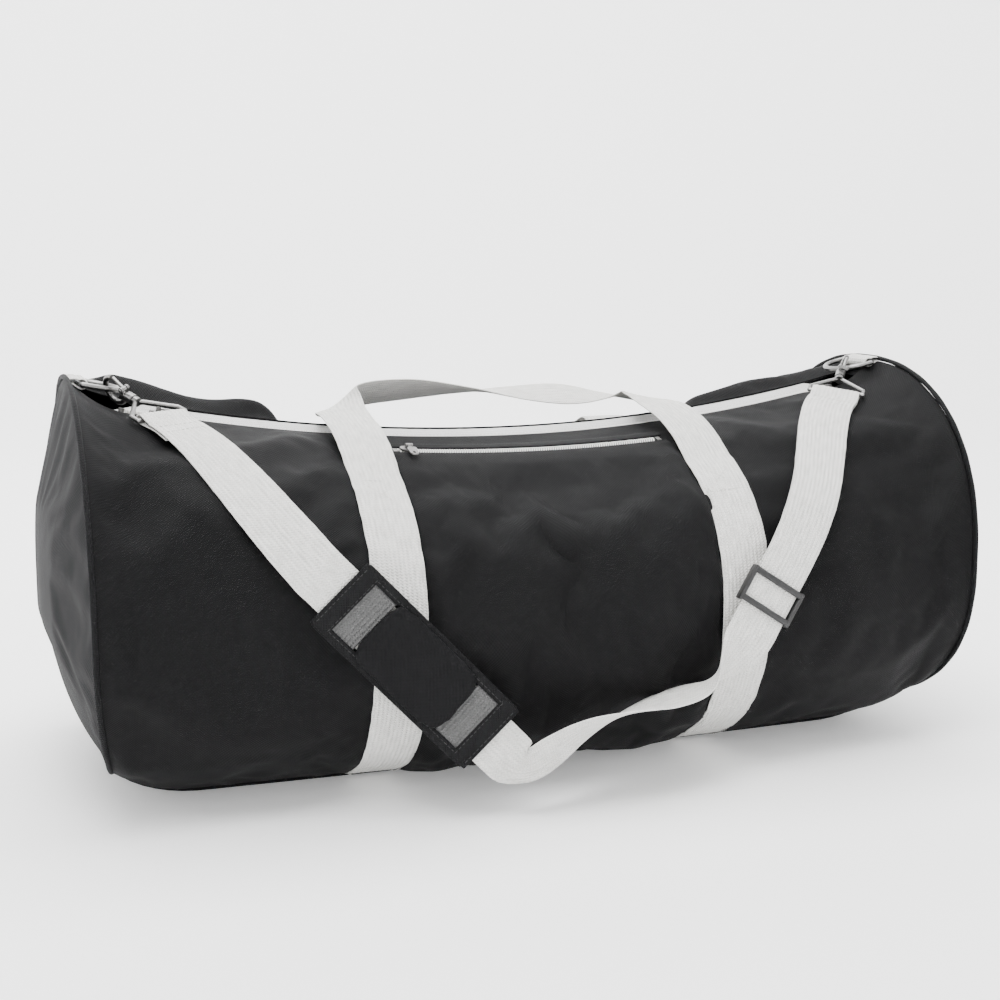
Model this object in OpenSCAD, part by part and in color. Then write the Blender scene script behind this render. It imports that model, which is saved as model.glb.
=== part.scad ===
// Roll duffel bag with a sagging top, webbing handles and a clip-on shoulder strap.
// +X runs along the bag, -Y is its front, Z = 0 is the floor under the middle of its base.

/* [Bag] */
// Length of the body between its two end seams
body_l = 664; // [640:2:680]
// Width of the body at its end seams
body_w = 318; // [310:1:322]
// Height of the body at its end seams
body_h = 294; // [290:1:298]
// Height of the top at mid length, where it sags
sag_h = 241; // [236:1:244]
// How far each end panel domes outwards
dome = 24; // [18:1:30]
// Thickness of the coated fabric
fabric_t = 1.6; // [1.2:0.1:2]
// How far the front pocket stands off the front panel
pocket_bulge = 11; // [9:1:13]

/* [Webbing] */
// Width of all webbing
web_w = 38; // [36:1:38]
// Thickness of all webbing
web_t = 1.8; // [1.4:0.1:2]
// Distance of each handle's webbing from mid length
web_x = 131; // [128:1:134]

/* [Zips] */
// Radius of the arc that the main zip follows
zip_r = 1400; // [1350:10:1500]
// Half of the main zip's length
zip_x = 292; // [280:1:292]
// Half of the pocket zip's length
pocket_zip_x = 104; // [96:1:104]

/* [Hardware] */
// Radius of the D-ring's wire
ring_wire_r = 2; // [1.8:0.1:2.2]
// Radius of the snap hook's crook, to the middle of its bar
crook_r = 10; // [9.8:0.1:10.4]
// Length of the shoulder pad
pad_l = 148; // [140:1:150]
// Width of the shoulder pad
pad_w = 56; // [54:1:58]

/* [Hidden] */

black = "#26262a";
white = "#ecebe6";
metal = "#8d8c8a";

half_l = body_l / 2;
// Extra half width in the middle, pushed out by the sagging top
belly = 8;
// Power that squares the round section slightly
squareness = 2 / 2.3;
// Lowest height of the round fabric, and the lowest point that its full section would reach
floor_z = 5;
section_low = -3;
// Stretch of the top that follows the zip's arc, beyond which it rises to the end seams
arc_x = 290;
arc_end_z = sag_h + zip_r - sqrt(zip_r * zip_r - arc_x * arc_x);
arc_slope = arc_x / sqrt(zip_r * zip_r - arc_x * arc_x);
rise = (body_h - arc_end_z - arc_slope * (half_l - arc_x)) / pow(half_l - arc_x, 2);
// Gap between layers of fabric
gap = 0.4;

// ---- surface of the bag ----

function signed_pow(v, e) = sign(v) * pow(abs(v), e);

function top_z(x) = let(ax = abs(x))
    ax <= arc_x ? sag_h + zip_r - sqrt(zip_r * zip_r - ax * ax)
    : arc_end_z + arc_slope * (ax - arc_x) + rise * pow(ax - arc_x, 2);

function half_w(x) = body_w / 2 + belly * (1 - pow(x / half_l, 2));

// Point of the skin at x and at an angle from the top towards the front, pushed out by off
function skin(x, angle, off = 0) =
    let(middle = (top_z(x) + section_low) / 2, reach = (top_z(x) - section_low) / 2 + off)
    [x, -(half_w(x) + off) * signed_pow(sin(angle), squareness),
        max(floor_z - off, middle + reach * signed_pow(cos(angle), squareness))];

// Angle at which the skin meets the floor of the bag
function floor_angle(x) =
    let(middle = (top_z(x) + section_low) / 2, reach = (top_z(x) - section_low) / 2)
    acos(signed_pow((floor_z - middle) / reach, 1 / squareness));

// Angle at which the skin is a given distance from the middle plane
function angle_at(x, y) = asin(pow(y / half_w(x), 1 / squareness));

function steps(a, b, n) = [for (i = [0:n]) a + (b - a) * i / n];

// ---- closed solids from rings and grids of points ----

// Solid through rings of points, each ring counter-clockwise seen from ahead
module sweep(rings, closed = false) {
    n = len(rings[0]);
    m = len(rings);
    last = closed ? m - 1 : m - 2;
    sides = [for (i = [0:last], j = [0:n - 1])
        let(k = (i + 1) % m, l = (j + 1) % n) [i * n + j, k * n + j, k * n + l, i * n + l]];
    triangles = [for (q = sides) each [[q[0], q[1], q[2]], [q[0], q[2], q[3]]]];
    caps = closed ? [] : [[for (j = [0:n - 1]) j], [for (j = [n - 1:-1:0]) (m - 1) * n + j]];
    polyhedron([for (r = rings) each r], concat(triangles, caps), convexity = 6);
}

// Thin shell between two grids of points, rows along +X and columns from the top downwards
module shell(outer, inner) {
    rows = len(outer);
    cols = len(outer[0]);
    total = rows * cols;
    a = [for (i = [0:rows - 1]) [for (j = [0:cols - 1]) i * cols + j]];
    b = [for (row = a) [for (v = row) v + total]];
    quads = concat(
        [for (i = [0:rows - 2], j = [0:cols - 2]) each [
            [a[i][j], a[i + 1][j], a[i + 1][j + 1], a[i][j + 1]],
            [b[i][j], b[i][j + 1], b[i + 1][j + 1], b[i + 1][j]]]],
        [for (i = [0:rows - 2]) each [
            [a[i + 1][0], a[i][0], b[i][0], b[i + 1][0]],
            [a[i][cols - 1], a[i + 1][cols - 1], b[i + 1][cols - 1], b[i][cols - 1]]]],
        [for (j = [0:cols - 2]) each [
            [a[0][j], a[0][j + 1], b[0][j + 1], b[0][j]],
            [a[rows - 1][j + 1], a[rows - 1][j], b[rows - 1][j], b[rows - 1][j + 1]]]]);
    polyhedron(concat([for (row = outer) each row], [for (row = inner) each row]),
        [for (q = quads) each [[q[0], q[1], q[2]], [q[0], q[2], q[3]]]], convexity = 6);
}

// Dished shell: a tip and rings of points on each side, facing +X
module dish(tip_out, outer, tip_in, inner) {
    rings = len(outer);
    n = len(outer[0]);
    function at(side, k, j) = 2 + side * rings * n + k * n + j % n;
    quads = concat(
        [for (k = [0:rings - 2], j = [0:n - 1]) each [
            [at(0, k + 1, j + 1), at(0, k + 1, j), at(0, k, j), at(0, k, j + 1)],
            [at(1, k + 1, j), at(1, k + 1, j + 1), at(1, k, j + 1), at(1, k, j)]]],
        [for (j = [0:n - 1])
            [at(0, rings - 1, j), at(0, rings - 1, j + 1), at(1, rings - 1, j + 1), at(1, rings - 1, j)]]);
    fans = [for (j = [0:n - 1]) each [
        [0, at(0, 0, j + 1), at(0, 0, j)],
        [1, at(1, 0, j), at(1, 0, j + 1)]]];
    polyhedron(concat([tip_out, tip_in], [for (r = outer) each r], [for (r = inner) each r]),
        concat(fans, [for (q = quads) each [[q[0], q[1], q[2]], [q[0], q[2], q[3]]]]), convexity = 6);
}

// ---- curves and bands of webbing ----

function unit(v) = v / norm(v);

// Smooth curve through the points of a route, with m samples between neighbours
function smooth(p, m) = let(n = len(p)) concat(
    [for (i = [0:n - 2], k = [0:m - 1]) let(t = k / m,
        before = i > 0 ? p[i - 1] : 2 * p[0] - p[1],
        after = i < n - 2 ? p[i + 2] : 2 * p[n - 1] - p[n - 2])
        (2 * p[i] + (p[i + 1] - before) * t + (2 * before - 5 * p[i] + 4 * p[i + 1] - after) * t * t
            + (3 * p[i] - before - 3 * p[i + 1] + after) * t * t * t) / 2],
    [p[n - 1]]);

function tangent(p, i) = unit(p[min(i + 1, len(p) - 1)] - p[max(i - 1, 0)]);

// Cross-sections of a band along a path whose faces point along the normals, raised by lift
function band(path, normals, w, t, lift = 0) = [for (i = [0:len(path) - 1])
    let(along = tangent(path, i),
        up = unit(normals[i] - (normals[i] * along) * along),
        across = cross(up, along),
        p = path[i] + lift * up)
    [p - across * w / 2 - up * t / 2, p + across * w / 2 - up * t / 2,
        p + across * w / 2 + up * t / 2, p - across * w / 2 + up * t / 2]];

// ---- fabric ----

// Edge of the fabric beside the main zip
zip_slit = 4.5;

// Three lengths of fabric, whose joins are under the webbing
module side_panel() {
    joins = [-half_l, -web_x, web_x, half_l];
    function row(x, off) = let(start = angle_at(x, zip_slit))
        [for (t = steps(0, 1, 32)) skin(x, start + (floor_angle(x) - start) * t, off)];
    for (k = [0:2]) {
        xs = steps(joins[k] + gap, joins[k + 1] - gap, 10);
        shell([for (x = xs) row(x, 0)], [for (x = xs) row(x, -fabric_t)]);
    }
}

module front_panel() color(black) side_panel();

module rear_panel() color(black) mirror([0, 1, 0]) side_panel();

// Stiffened flat base, just inside the foot of the side panels
module base_panel() {
    xs = steps(-half_l + 12, half_l - 12, 24);
    edge = [for (x = xs) [x, skin(x, floor_angle(x)).y + 1]];
    color(black) linear_extrude(floor_z - gap)
        polygon(concat(edge, [for (i = [len(edge) - 1:-1:0]) [edge[i].x, -edge[i].y]]));
}

module end_panel() {
    angles = [for (i = [0:39]) i * 9];
    centre_z = body_h * 0.48;
    function ring(r, off) = [for (a = angles) let(p = skin(half_l, a, off))
        [half_l + (dome + off) * (1 - pow(r, 2.4)), p.y * r, centre_z + (p.z - centre_z) * r]];
    radii = [0.14, 0.3, 0.46, 0.6, 0.72, 0.82, 0.9, 0.96, 1];
    color(black) dish([half_l + dome, 0, centre_z], [for (r = radii) ring(r, 0)],
        [half_l + dome - fabric_t, 0, centre_z], [for (r = radii) ring(r, -fabric_t)]);
}

// Corded piping in each end seam
piping_r = 2.2;

module piping() {
    angles = [for (i = [0:59]) i * 6];
    path = [for (a = angles) skin(half_l, a, piping_r + 0.2)];
    centre = [half_l, 0, body_h / 2];
    color(black) sweep([for (p = path) let(outward = unit(p - centre))
        [for (k = [0:5]) p + piping_r * (cos(k * 60) * outward + sin(k * 60) * [1, 0, 0])]],
        closed = true);
}

// Binding tape that covers the raw edges of each end seam inside the bag
module seam_binding() {
    angles = [for (i = [0:59]) i * 6];
    color(black) sweep([for (a = angles) let(far = half_l - 1, near = half_l - 13,
        out = -fabric_t - 1.8, in = -fabric_t - 2.6)
        [skin(near, a, out), skin(far, a, out), skin(far, a, in), skin(near, a, in)]],
        closed = true);
}

// ---- zips ----

// Each zip lies on an arc: [radius, height of its lowest point, distance to the front, tilt]
main_zip = [zip_r, sag_h, 0, 0];
pocket_zip_angle = 19;
pocket_zip_top = signed_pow(cos(pocket_zip_angle), squareness);
pocket_zip = [zip_r * 2 / (1 + pocket_zip_top), skin(0, pocket_zip_angle).z,
    -skin(0, pocket_zip_angle).y,
    let(a = skin(0, pocket_zip_angle - 1), b = skin(0, pocket_zip_angle + 1)) atan2(a.z - b.z, a.y - b.y)];

// Moves the arc's plane upright, with its 2D x as the radius and its 2D y as the distance to the front
module along_arc(zip, x0, x1) {
    a0 = asin(x0 / zip[0]);
    a1 = asin(x1 / zip[0]);
    translate([0, 0, zip[1] + zip[0]]) rotate([90, 0, 0]) rotate([0, 0, a0 - 90])
        rotate_extrude(angle = a1 - a0, $fn = 720) children();
}

// Strip of a zip: s runs down the slope from the zip's middle, h is the height above the skin
module zip_strip(zip, s0, s1, h0, h1, x0, x1) {
    function place(s, h) = [zip[0] + s * sin(zip[3]) - h * cos(zip[3]),
        zip[2] + s * cos(zip[3]) + h * sin(zip[3])];
    along_arc(zip, x0, x1) polygon([place(s0, h0), place(s1, h0), place(s1, h1), place(s0, h1)]);
}

// Puts a piece on a zip at x: local X along the zip, local Z up from the skin
module on_zip(zip, x) {
    a = asin(x / zip[0]);
    translate([x, -zip[2], zip[1] + zip[0] - zip[0] * cos(a)])
        rotate([0, -a, 0]) rotate([zip[3], 0, 0]) children();
}

// Half of the slot that the slider's post runs in
post_slot = 0.6;
teeth_w = 3.2;
tape_w = 13;
// Heights of the main zip's tape and teeth above the skin, then of the pocket zip's
main_tape_h = -fabric_t - 1.8;
pocket_tape_h = gap;

module zip_tape(zip, side, h, half) color(white)
    zip_strip(zip, side * post_slot, side * tape_w, h, h + 0.8, -half, half);

module zip_teeth(zip, side, h, top, half) color(white)
    zip_strip(zip, side * post_slot, side * teeth_w, h + 0.9, top, -half, half);

module zip_stops(zip, h, top, half) color(metal) for (s = [-1, 1])
    zip_strip(zip, -teeth_w, teeth_w, h + 0.9, top, s * (half + 0.2), s * (half + 3.5));

main_teeth_top = 0.8;
pocket_teeth_top = 3;

module main_zip_tape_front() zip_tape(main_zip, 1, main_tape_h, zip_x + 6);
module main_zip_tape_rear() zip_tape(main_zip, -1, main_tape_h, zip_x + 6);
module main_zip_teeth_front() zip_teeth(main_zip, 1, main_tape_h, main_teeth_top, zip_x);
module main_zip_teeth_rear() zip_teeth(main_zip, -1, main_tape_h, main_teeth_top, zip_x);
module main_zip_stops() zip_stops(main_zip, main_tape_h, main_teeth_top, zip_x);
module pocket_zip_tape_upper() zip_tape(pocket_zip, -1, pocket_tape_h, pocket_zip_x + 5);
module pocket_zip_tape_lower() zip_tape(pocket_zip, 1, pocket_tape_h, pocket_zip_x + 5);
module pocket_zip_teeth_upper() zip_teeth(pocket_zip, -1, pocket_tape_h, pocket_teeth_top, pocket_zip_x);
module pocket_zip_teeth_lower() zip_teeth(pocket_zip, 1, pocket_tape_h, pocket_teeth_top, pocket_zip_x);
module pocket_zip_stops() zip_stops(pocket_zip, pocket_tape_h, pocket_teeth_top, pocket_zip_x);

// Slider: wings over the teeth, a thin post between them, and two lugs with the pull's pin
slider_l = 13;
slider_w = 9;
lug_pin_r = 0.7;
lug_h = 1.9;

module rounded_bar(l, w) {
    square([l - w, w], center = true);
    for (s = [-1, 1]) translate([s * (l - w) / 2, 0]) circle(d = w, $fn = 48);
}

module slider(teeth_top, turn) {
    wing_low = teeth_top + 0.3;
    wing_top = wing_low + 1.5;
    translate([0, 0, wing_low]) linear_extrude(1.5) rounded_bar(slider_l, slider_w);
    for (s = [-1, 1]) translate([-3.5, s * 3.95 - 0.45, wing_low - 0.7]) cube([7, 0.9, 0.8]);
    rotate([0, 0, turn]) translate([0, 0, wing_top + lug_h]) {
        for (s = [-1, 1]) translate([0, s * 2.1, 0]) rotate([90, 0, 0])
            linear_extrude(1, center = true) {
                circle(r = 1.7, $fn = 32);
                translate([-1.7, -lug_h - 0.1]) square([3.4, lug_h + 0.1]);
            }
        rotate([90, 0, 0]) cylinder(r = lug_pin_r, h = 4, center = true, $fn = 24);
    }
}

// Post and lower wing, which hold the main slider on both sides of its tape
module slider_foot() {
    translate([-5, -0.3, main_tape_h - 2]) cube([6, 0.6, main_teeth_top + 0.5 - main_tape_h + 2]);
    translate([0, 0, main_tape_h - 2.2]) linear_extrude(1.2) rounded_bar(slider_l - 1, slider_w - 1);
}

// Pull tab that lies along local +X from its pin, with a slotted end
module pull(l) {
    rotate([90, 0, 0]) difference() {
        cylinder(r = 1.7, h = 2.6, center = true, $fn = 32);
        cylinder(r = lug_pin_r + 0.2, h = 4, center = true, $fn = 24);
    }
    translate([1.4, -1.3, -0.5]) cube([5, 2.6, 1]);
    translate([l / 2 + 4, 0, -0.5]) linear_extrude(1) difference() {
        rounded_bar(l - 1, 6.4);
        translate([l / 4, 0]) rounded_bar(4.5, 2.2);
    }
}

main_slider_x = -268;
pocket_slider_x = -96;
main_pin_h = main_teeth_top + 1.8 + lug_h;
pocket_pin_h = pocket_teeth_top + 1.8 + lug_h;

module main_zip_slider() color(metal) on_zip(main_zip, main_slider_x) {
    slider(main_teeth_top, 0);
    slider_foot();
}
module main_zip_pull() color(metal) on_zip(main_zip, main_slider_x)
    translate([0, 0, main_pin_h]) pull(20);
module pocket_zip_slider() color(metal) on_zip(pocket_zip, pocket_slider_x)
    slider(pocket_teeth_top, 90);
module pocket_zip_pull() color(metal) on_zip(pocket_zip, pocket_slider_x)
    translate([0, 0, pocket_pin_h]) rotate([0, 0, -90]) pull(16);

// ---- front pocket ----

pocket_x = web_x - web_w / 2 - 0.6;

module pocket_panel() {
    xs = steps(-pocket_x, pocket_x, 14);
    function stand(x, t) = gap + pocket_bulge * pow(max(0, 1 - pow(x / pocket_x, 2)), 0.6)
        * pow(max(0, sin(180 * t)), 0.6);
    function row(x, extra) = let(start = angle_at(x, pocket_zip[2] + tape_w + 0.6))
        [for (t = steps(0, 1, 16))
            skin(x, start + (floor_angle(x) - 1.5 - start) * t, stand(x, t) + extra)];
    color(black) shell([for (x = xs) row(x, 1.4)], [for (x = xs) row(x, 0)]);
}

// ---- webbing sewn to the body ----

// Angle at which each handle leaves the body
handle_angle = 33;

module body_webbing() {
    xs = steps(web_x - web_w / 2, web_x + web_w / 2, 3);
    function row(x, off) = [for (t = steps(0, 1, 20))
        skin(x, handle_angle + (floor_angle(x) - 1 - handle_angle) * t, off)];
    color(white) shell([for (x = xs) row(x, gap + web_t)], [for (x = xs) row(x, gap)]);
}

module front_right_webbing() body_webbing();
module front_left_webbing() mirror([1, 0, 0]) body_webbing();
module rear_right_webbing() mirror([0, 1, 0]) body_webbing();
module rear_left_webbing() mirror([1, 0, 0]) mirror([0, 1, 0]) body_webbing();

// Handle routes from the right-hand webbing to the left: points, then the way the face points
front_handle_route = [[131, -90, 236], [131, -74, 246], [131, -50, 256], [131, -18, 263], [130, 10, 266],
    [124, 29, 266], [104, 41, 266], [70, 46, 268], [30, 46, 270], [-20, 44, 274], [-66, 42, 276],
    [-104, 38, 274], [-124, 26, 270], [-130, 8, 267], [-131, -18, 263], [-131, -50, 256],
    [-131, -74, 246], [-131, -90, 236]];
front_handle_normals = [[0, -54, 84], [0, -50, 87], [0, -30, 95], [0, -10, 99], [14, 8, 98],
    [26, 12, 95], [14, -8, 98], [0, -35, 94], [0, -20, 98], [0, 20, 98], [0, 50, 87],
    [-20, 55, 82], [-50, 40, 77], [-20, 15, 97], [0, -10, 99], [0, -30, 95], [0, -50, 87], [0, -54, 84]];
rear_handle_route = [[131, 92, 235.5], [131, 100, 240.5], [131, 111, 240], [130, 125, 232],
    [127, 138, 220], [118, 149, 207], [98, 156, 196], [66, 160, 188], [22, 162, 184], [-22, 162, 184], [-66, 160, 188],
    [-98, 156, 196], [-118, 149, 207], [-127, 138, 220], [-130, 125, 232], [-131, 111, 240],
    [-131, 100, 240.5], [-131, 92, 235.5]];
rear_handle_normals = [[0, -52, 85], [0, -20, 98], [0, 34, 94], [5, 68, 73], [25, 76, 60], [35, 85, 38],
    [14, 94, 30], [4, 95, 30], [0, 96, 28], [0, 96, 28], [-4, 95, 30], [-14, 94, 30], [-35, 85, 38],
    [-25, 76, 60], [-5, 68, 73], [0, 34, 94], [0, -20, 98], [0, -52, 85]];

module handle(route, normals) color(white)
    sweep(band(smooth(route, 4), smooth(normals, 4), web_w, web_t));

// ---- D-rings and their tabs, on the right-hand end ----

ring_bar_x = 322;
ring_bar_z = 292.5;
ring_half = 22;
ring_leg = 6;
// How far the ring's bow dips below its bar
ring_dip = 12;

module ring_tab() {
    fold_in = ring_wire_r + 0.6;
    fold_out = fold_in + web_t;
    color(white) translate([ring_bar_x, 0, ring_bar_z]) rotate([90, 0, 0])
        linear_extrude(36, center = true) difference() {
            union() {
                circle(r = fold_out, $fn = 48);
                rotate(28) translate([0, -1.8]) square([7.6, 3.6]);
            }
            circle(r = fold_in, $fn = 48);
        }
}

module d_ring() color(metal)
    translate([ring_bar_x, 0, ring_bar_z]) rotate([0, -ring_dip, 0]) {
        rotate([90, 0, 0]) cylinder(r = ring_wire_r, h = 2 * ring_half, center = true, $fn = 32);
        for (s = [-1, 1]) {
            translate([0, s * ring_half, 0]) sphere(r = ring_wire_r, $fn = 32);
            translate([-ring_leg, s * ring_half, 0]) rotate([0, 90, 0])
                cylinder(r = ring_wire_r, h = ring_leg, $fn = 32);
        }
        translate([-ring_leg, 0, 0]) rotate([0, 0, 90])
            rotate_extrude(angle = 180, $fn = 96)
                translate([ring_half, 0]) circle(r = ring_wire_r, $fn = 32);
    }

// ---- snap hooks, on the right-hand end ----

// The hook bears on the ring's bow at this angle from its tip, towards the front
bow_angle = 36;
ring_reach = ring_leg + ring_half * cos(bow_angle);
hook_centre = [ring_bar_x - ring_reach * cos(ring_dip), -ring_half * sin(bow_angle),
    ring_bar_z - ring_reach * sin(ring_dip)];
eye_bar = [271, -50, 271.5];
hook_axis = unit(eye_bar - hook_centre);
eye_reach = norm(eye_bar - hook_centre);
// The crook's face is turned so that it clears the ring over the strap's whole swing
hook_face = unit(cross(hook_axis, [0, 0, 1]));
hook_turn = -114;
eye_across = unit(cross(hook_axis, [-17, -37, 89]));

// Places a piece whose local Z runs along the hook and whose local X is given
module on_hook(x_axis, turn = 0) {
    y_axis = cross(hook_axis, x_axis);
    multmatrix([[x_axis.x, y_axis.x, hook_axis.x, hook_centre.x],
        [x_axis.y, y_axis.y, hook_axis.y, hook_centre.y],
        [x_axis.z, y_axis.z, hook_axis.z, hook_centre.z],
        [0, 0, 0, 1]]) rotate([0, 0, turn]) children();
}

hook_bar_r = 2;
gate_pivot = [5.4, 0, 10.2];
gate_pin_r = 0.8;
barrel_low = 8.5;
barrel_top = 20;
barrel_r = 4;
stem_r = 1.6;
flange_r = 2.5;
flange_z = barrel_top - 4.5;

module hook_body() color(metal) on_hook(hook_face, hook_turn) {
    rotate([90, 0, 0]) rotate([0, 0, 108]) rotate_extrude(angle = 242, $fn = 96)
        translate([crook_r, 0]) circle(r = hook_bar_r, $fn = 32);
    difference() {
        translate([0, 0, barrel_low]) cylinder(r = barrel_r, h = barrel_top - barrel_low, $fn = 48);
        translate([0, 0, flange_z - 0.3]) cylinder(r = flange_r + 0.3, h = 2.4, $fn = 48);
        translate([0, 0, flange_z]) cylinder(r = stem_r + 0.2, h = 6, $fn = 48);
        translate([2.6, -1.7, 7.4]) cube([6, 3.4, 6]);
    }
    for (s = [-1, 1]) translate([gate_pivot.x, s * 2.5, gate_pivot.z]) rotate([90, 0, 0])
        linear_extrude(1.2, center = true) difference() {
            union() {
                circle(r = 2.2, $fn = 48);
                translate([-3.6, -1.4]) square([3.6, 3.4]);
            }
            circle(r = gate_pin_r, $fn = 32);
        }
}

module gate_pin() color(metal) on_hook(hook_face, hook_turn)
    translate(gate_pivot) rotate([90, 0, 0])
        cylinder(r = gate_pin_r - 0.02, h = 8.4, center = true, $fn = 32);

module hook_gate() color(metal) on_hook(hook_face, hook_turn) {
    tip = [crook_r + 0.1, 0, -0.6];
    arm = tip - gate_pivot;
    translate(gate_pivot) {
        rotate([90, 0, 0]) difference() {
            cylinder(r = 1.9, h = 2.8, center = true, $fn = 32);
            cylinder(r = gate_pin_r + 0.1, h = 4, center = true, $fn = 32);
        }
        rotate([0, atan2(arm.x, arm.z), 0]) translate([0, 0, 1.5])
            cylinder(r = 1.3, h = norm(arm) - 1.5, $fn = 32);
    }
}

// Coil spring round both ends of the gate's pin, as plain sleeves
module gate_spring() color(metal) on_hook(hook_face, hook_turn)
    translate(gate_pivot) for (s = [-1, 1]) translate([0, s * 3.8, 0]) rotate([90, 0, 0]) difference() {
        cylinder(r = 1.5, h = 1, center = true, $fn = 32);
        cylinder(r = gate_pin_r + 0.1, h = 2, center = true, $fn = 32);
    }

module swivel_eye() color(metal) on_hook(eye_across) {
    translate([0, 0, flange_z]) cylinder(r = flange_r, h = 1.8, $fn = 48);
    translate([0, 0, flange_z + 1]) cylinder(r = stem_r, h = barrel_top - flange_z + 1, $fn = 48);
    translate([0, 0, barrel_top + 0.4]) cylinder(r = 3.4, h = 4, $fn = 48);
    corner = [web_w / 2 + 2.6, 0, eye_reach - 7];
    for (s = [-1, 1]) {
        base = [s * 1.5, 0, barrel_top + 2.6];
        arm = [s * corner.x, 0, corner.z] - base;
        translate(base) rotate([0, atan2(arm.x, arm.z), 0]) cylinder(r = 1.7, h = norm(arm), $fn = 32);
        translate([s * corner.x, 0, corner.z]) sphere(r = 1.7, $fn = 32);
        translate([s * corner.x, 0, corner.z]) cylinder(r = 1.7, h = 7, $fn = 32);
        translate([s * corner.x, 0, eye_reach]) sphere(r = 1.7, $fn = 32);
    }
    translate([0, 0, eye_reach]) rotate([0, 90, 0])
        cylinder(r = 1.7, h = 2 * corner.x, center = true, $fn = 32);
}

// Webbing folded round the eye's bar and stitched back on itself
module strap_loop() color(white) on_hook(eye_across) {
    fold_in = 2;
    fold_out = fold_in + web_t;
    translate([0, 0, eye_reach]) rotate([90, 0, 90]) linear_extrude(web_w, center = true) difference() {
        union() {
            circle(r = fold_out, $fn = 48);
            translate([-web_t, 0]) square([2 * web_t, fold_out + 3]);
        }
        circle(r = fold_in, $fn = 48);
    }
}

// ---- shoulder strap ----

// Route of the strap's middle from the left hook to the right, then the way its face points
strap_route = [[-267.5, -55, 269], [-259, -72, 264], [-246, -97, 252], [-230, -125, 232],
    [-210, -152, 205], [-190, -172, 179], [-182, -173.25, 170.5], [-126, -182, 111],
    [-70, -190.75, 51.5], [-62, -192, 43],
    [-50, -194, 34], [-36, -194, 33], [-22, -193, 42], [-4, -192, 56], [24, -190, 67], [56, -187, 71],
    [84, -184, 77], [106, -182, 90], [124, -181, 108], [140, -178, 132], [148, -176.5, 144],
    [164, -173.5, 168], [180, -165, 191], [196, -150, 213], [213, -126, 234], [232, -97, 252],
    [251, -72, 264], [267.5, -55, 269]];
strap_normals = [[17, -37, 89], [16, -42, 88], [10, -55, 82], [0, -70, 68], [-8, -88, 42],
    [-10, -99, 6], [-10, -99, 5], [-10, -99, 5], [-10, -99, 5], [-8, -97, -15],
    [-10, -85, -50], [0, -75, -66], [25, -65, -70], [30, -50, -80], [10, -35, -94], [5, -35, -94],
    [20, -55, -80], [24, -88, -36], [0, -99, 12], [0, -99, 12], [0, -99, 12],
    [0, -99, 12], [10, -88, 45], [6, -78, 60], [0, -67, 72], [-8, -54, 83],
    [-15, -42, 88], [-17, -37, 89]];
strap_path = smooth(strap_route, 3);
strap_faces = smooth(strap_normals, 3);

// First sample of the adjuster's second layer, which runs behind the strap to the right hook
layer_start = 61;

module shoulder_strap() color(white) {
    sweep(band(strap_path, strap_faces, web_w, web_t));
    last = len(strap_path) - 1;
    sweep(band([for (i = [layer_start:last]) strap_path[i]], [for (i = [layer_start:last]) strap_faces[i]],
        web_w, web_t, -web_t - 0.3));
}

// Places a piece on a straight stretch of the strap: local X along it, local Z out of its face
module on_strap(from, to, face) {
    along = unit(to - from);
    up = unit(face - (face * along) * along);
    across = cross(up, along);
    middle = (from + to) / 2;
    multmatrix([[along.x, across.x, up.x, middle.x], [along.y, across.y, up.y, middle.y],
        [along.z, across.z, up.z, middle.z], [0, 0, 0, 1]]) children();
}

slide_from = strap_route[19];
slide_to = strap_route[20];

// Three-bar slide: outer bars over the webbing, middle bar under it, rails at its sides
module strap_slide() color(black) on_strap(slide_from, slide_to, strap_normals[19]) {
    rail_y = web_w / 2 + 2.6;
    for (s = [-1, 1]) {
        translate([0, s * rail_y, 0]) cube([27, 3, 7], center = true);
        translate([s * 11, 0, 2.6]) cube([5, 2 * rail_y, 1.8], center = true);
    }
    translate([0, 0, -2.7]) cube([6, 2 * rail_y, 1.6], center = true);
}

pad_from = strap_route[6];
pad_to = strap_route[8];
pad_channel = web_t / 2 + 0.7;
window_x = pad_l / 2 - 24;

module pad_outline(l, w) {
    square([l - 16, w], center = true);
    square([l, w - 16], center = true);
    for (i = [-1, 1], j = [-1, 1]) translate([i * (l / 2 - 8), j * (w / 2 - 8)]) circle(r = 8, $fn = 48);
}

module on_pad() on_strap(pad_from, pad_to, strap_normals[7]) children();

// Cover over the webbing, with a window at each end, and side walls down to the backing
module pad_cover() color(black) on_pad() {
    translate([0, 0, pad_channel]) linear_extrude(1.2) difference() {
        pad_outline(pad_l, pad_w);
        for (s = [-1, 1]) translate([s * window_x, 0]) square([20, web_w + 1], center = true);
        square([84, 40], center = true);
    }
    translate([0, 0, pad_channel + 5.2]) linear_extrude(1.2) square([88, 44], center = true);
    for (s = [-1, 1]) {
        translate([s * 43, 0, pad_channel + 3.2]) cube([2, 44, 4], center = true);
        translate([0, s * 21, pad_channel + 3.2]) cube([88, 2, 4], center = true);
    }
    for (s = [-1, 1]) translate([-pad_l / 2 + 8, s * (pad_w / 2 - 3) - 3, -pad_channel])
        cube([pad_l - 16, 6, 2 * pad_channel]);
}

module pad_foam() color(black) on_pad()
    translate([0, 0, pad_channel + 0.6]) linear_extrude(4.3) square([83.4, 39.4], center = true);

module pad_backing() color(black) on_pad()
    translate([0, 0, -pad_channel - 3.2]) linear_extrude(3.2) pad_outline(pad_l, pad_w);

// ---- nodes ----

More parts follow.
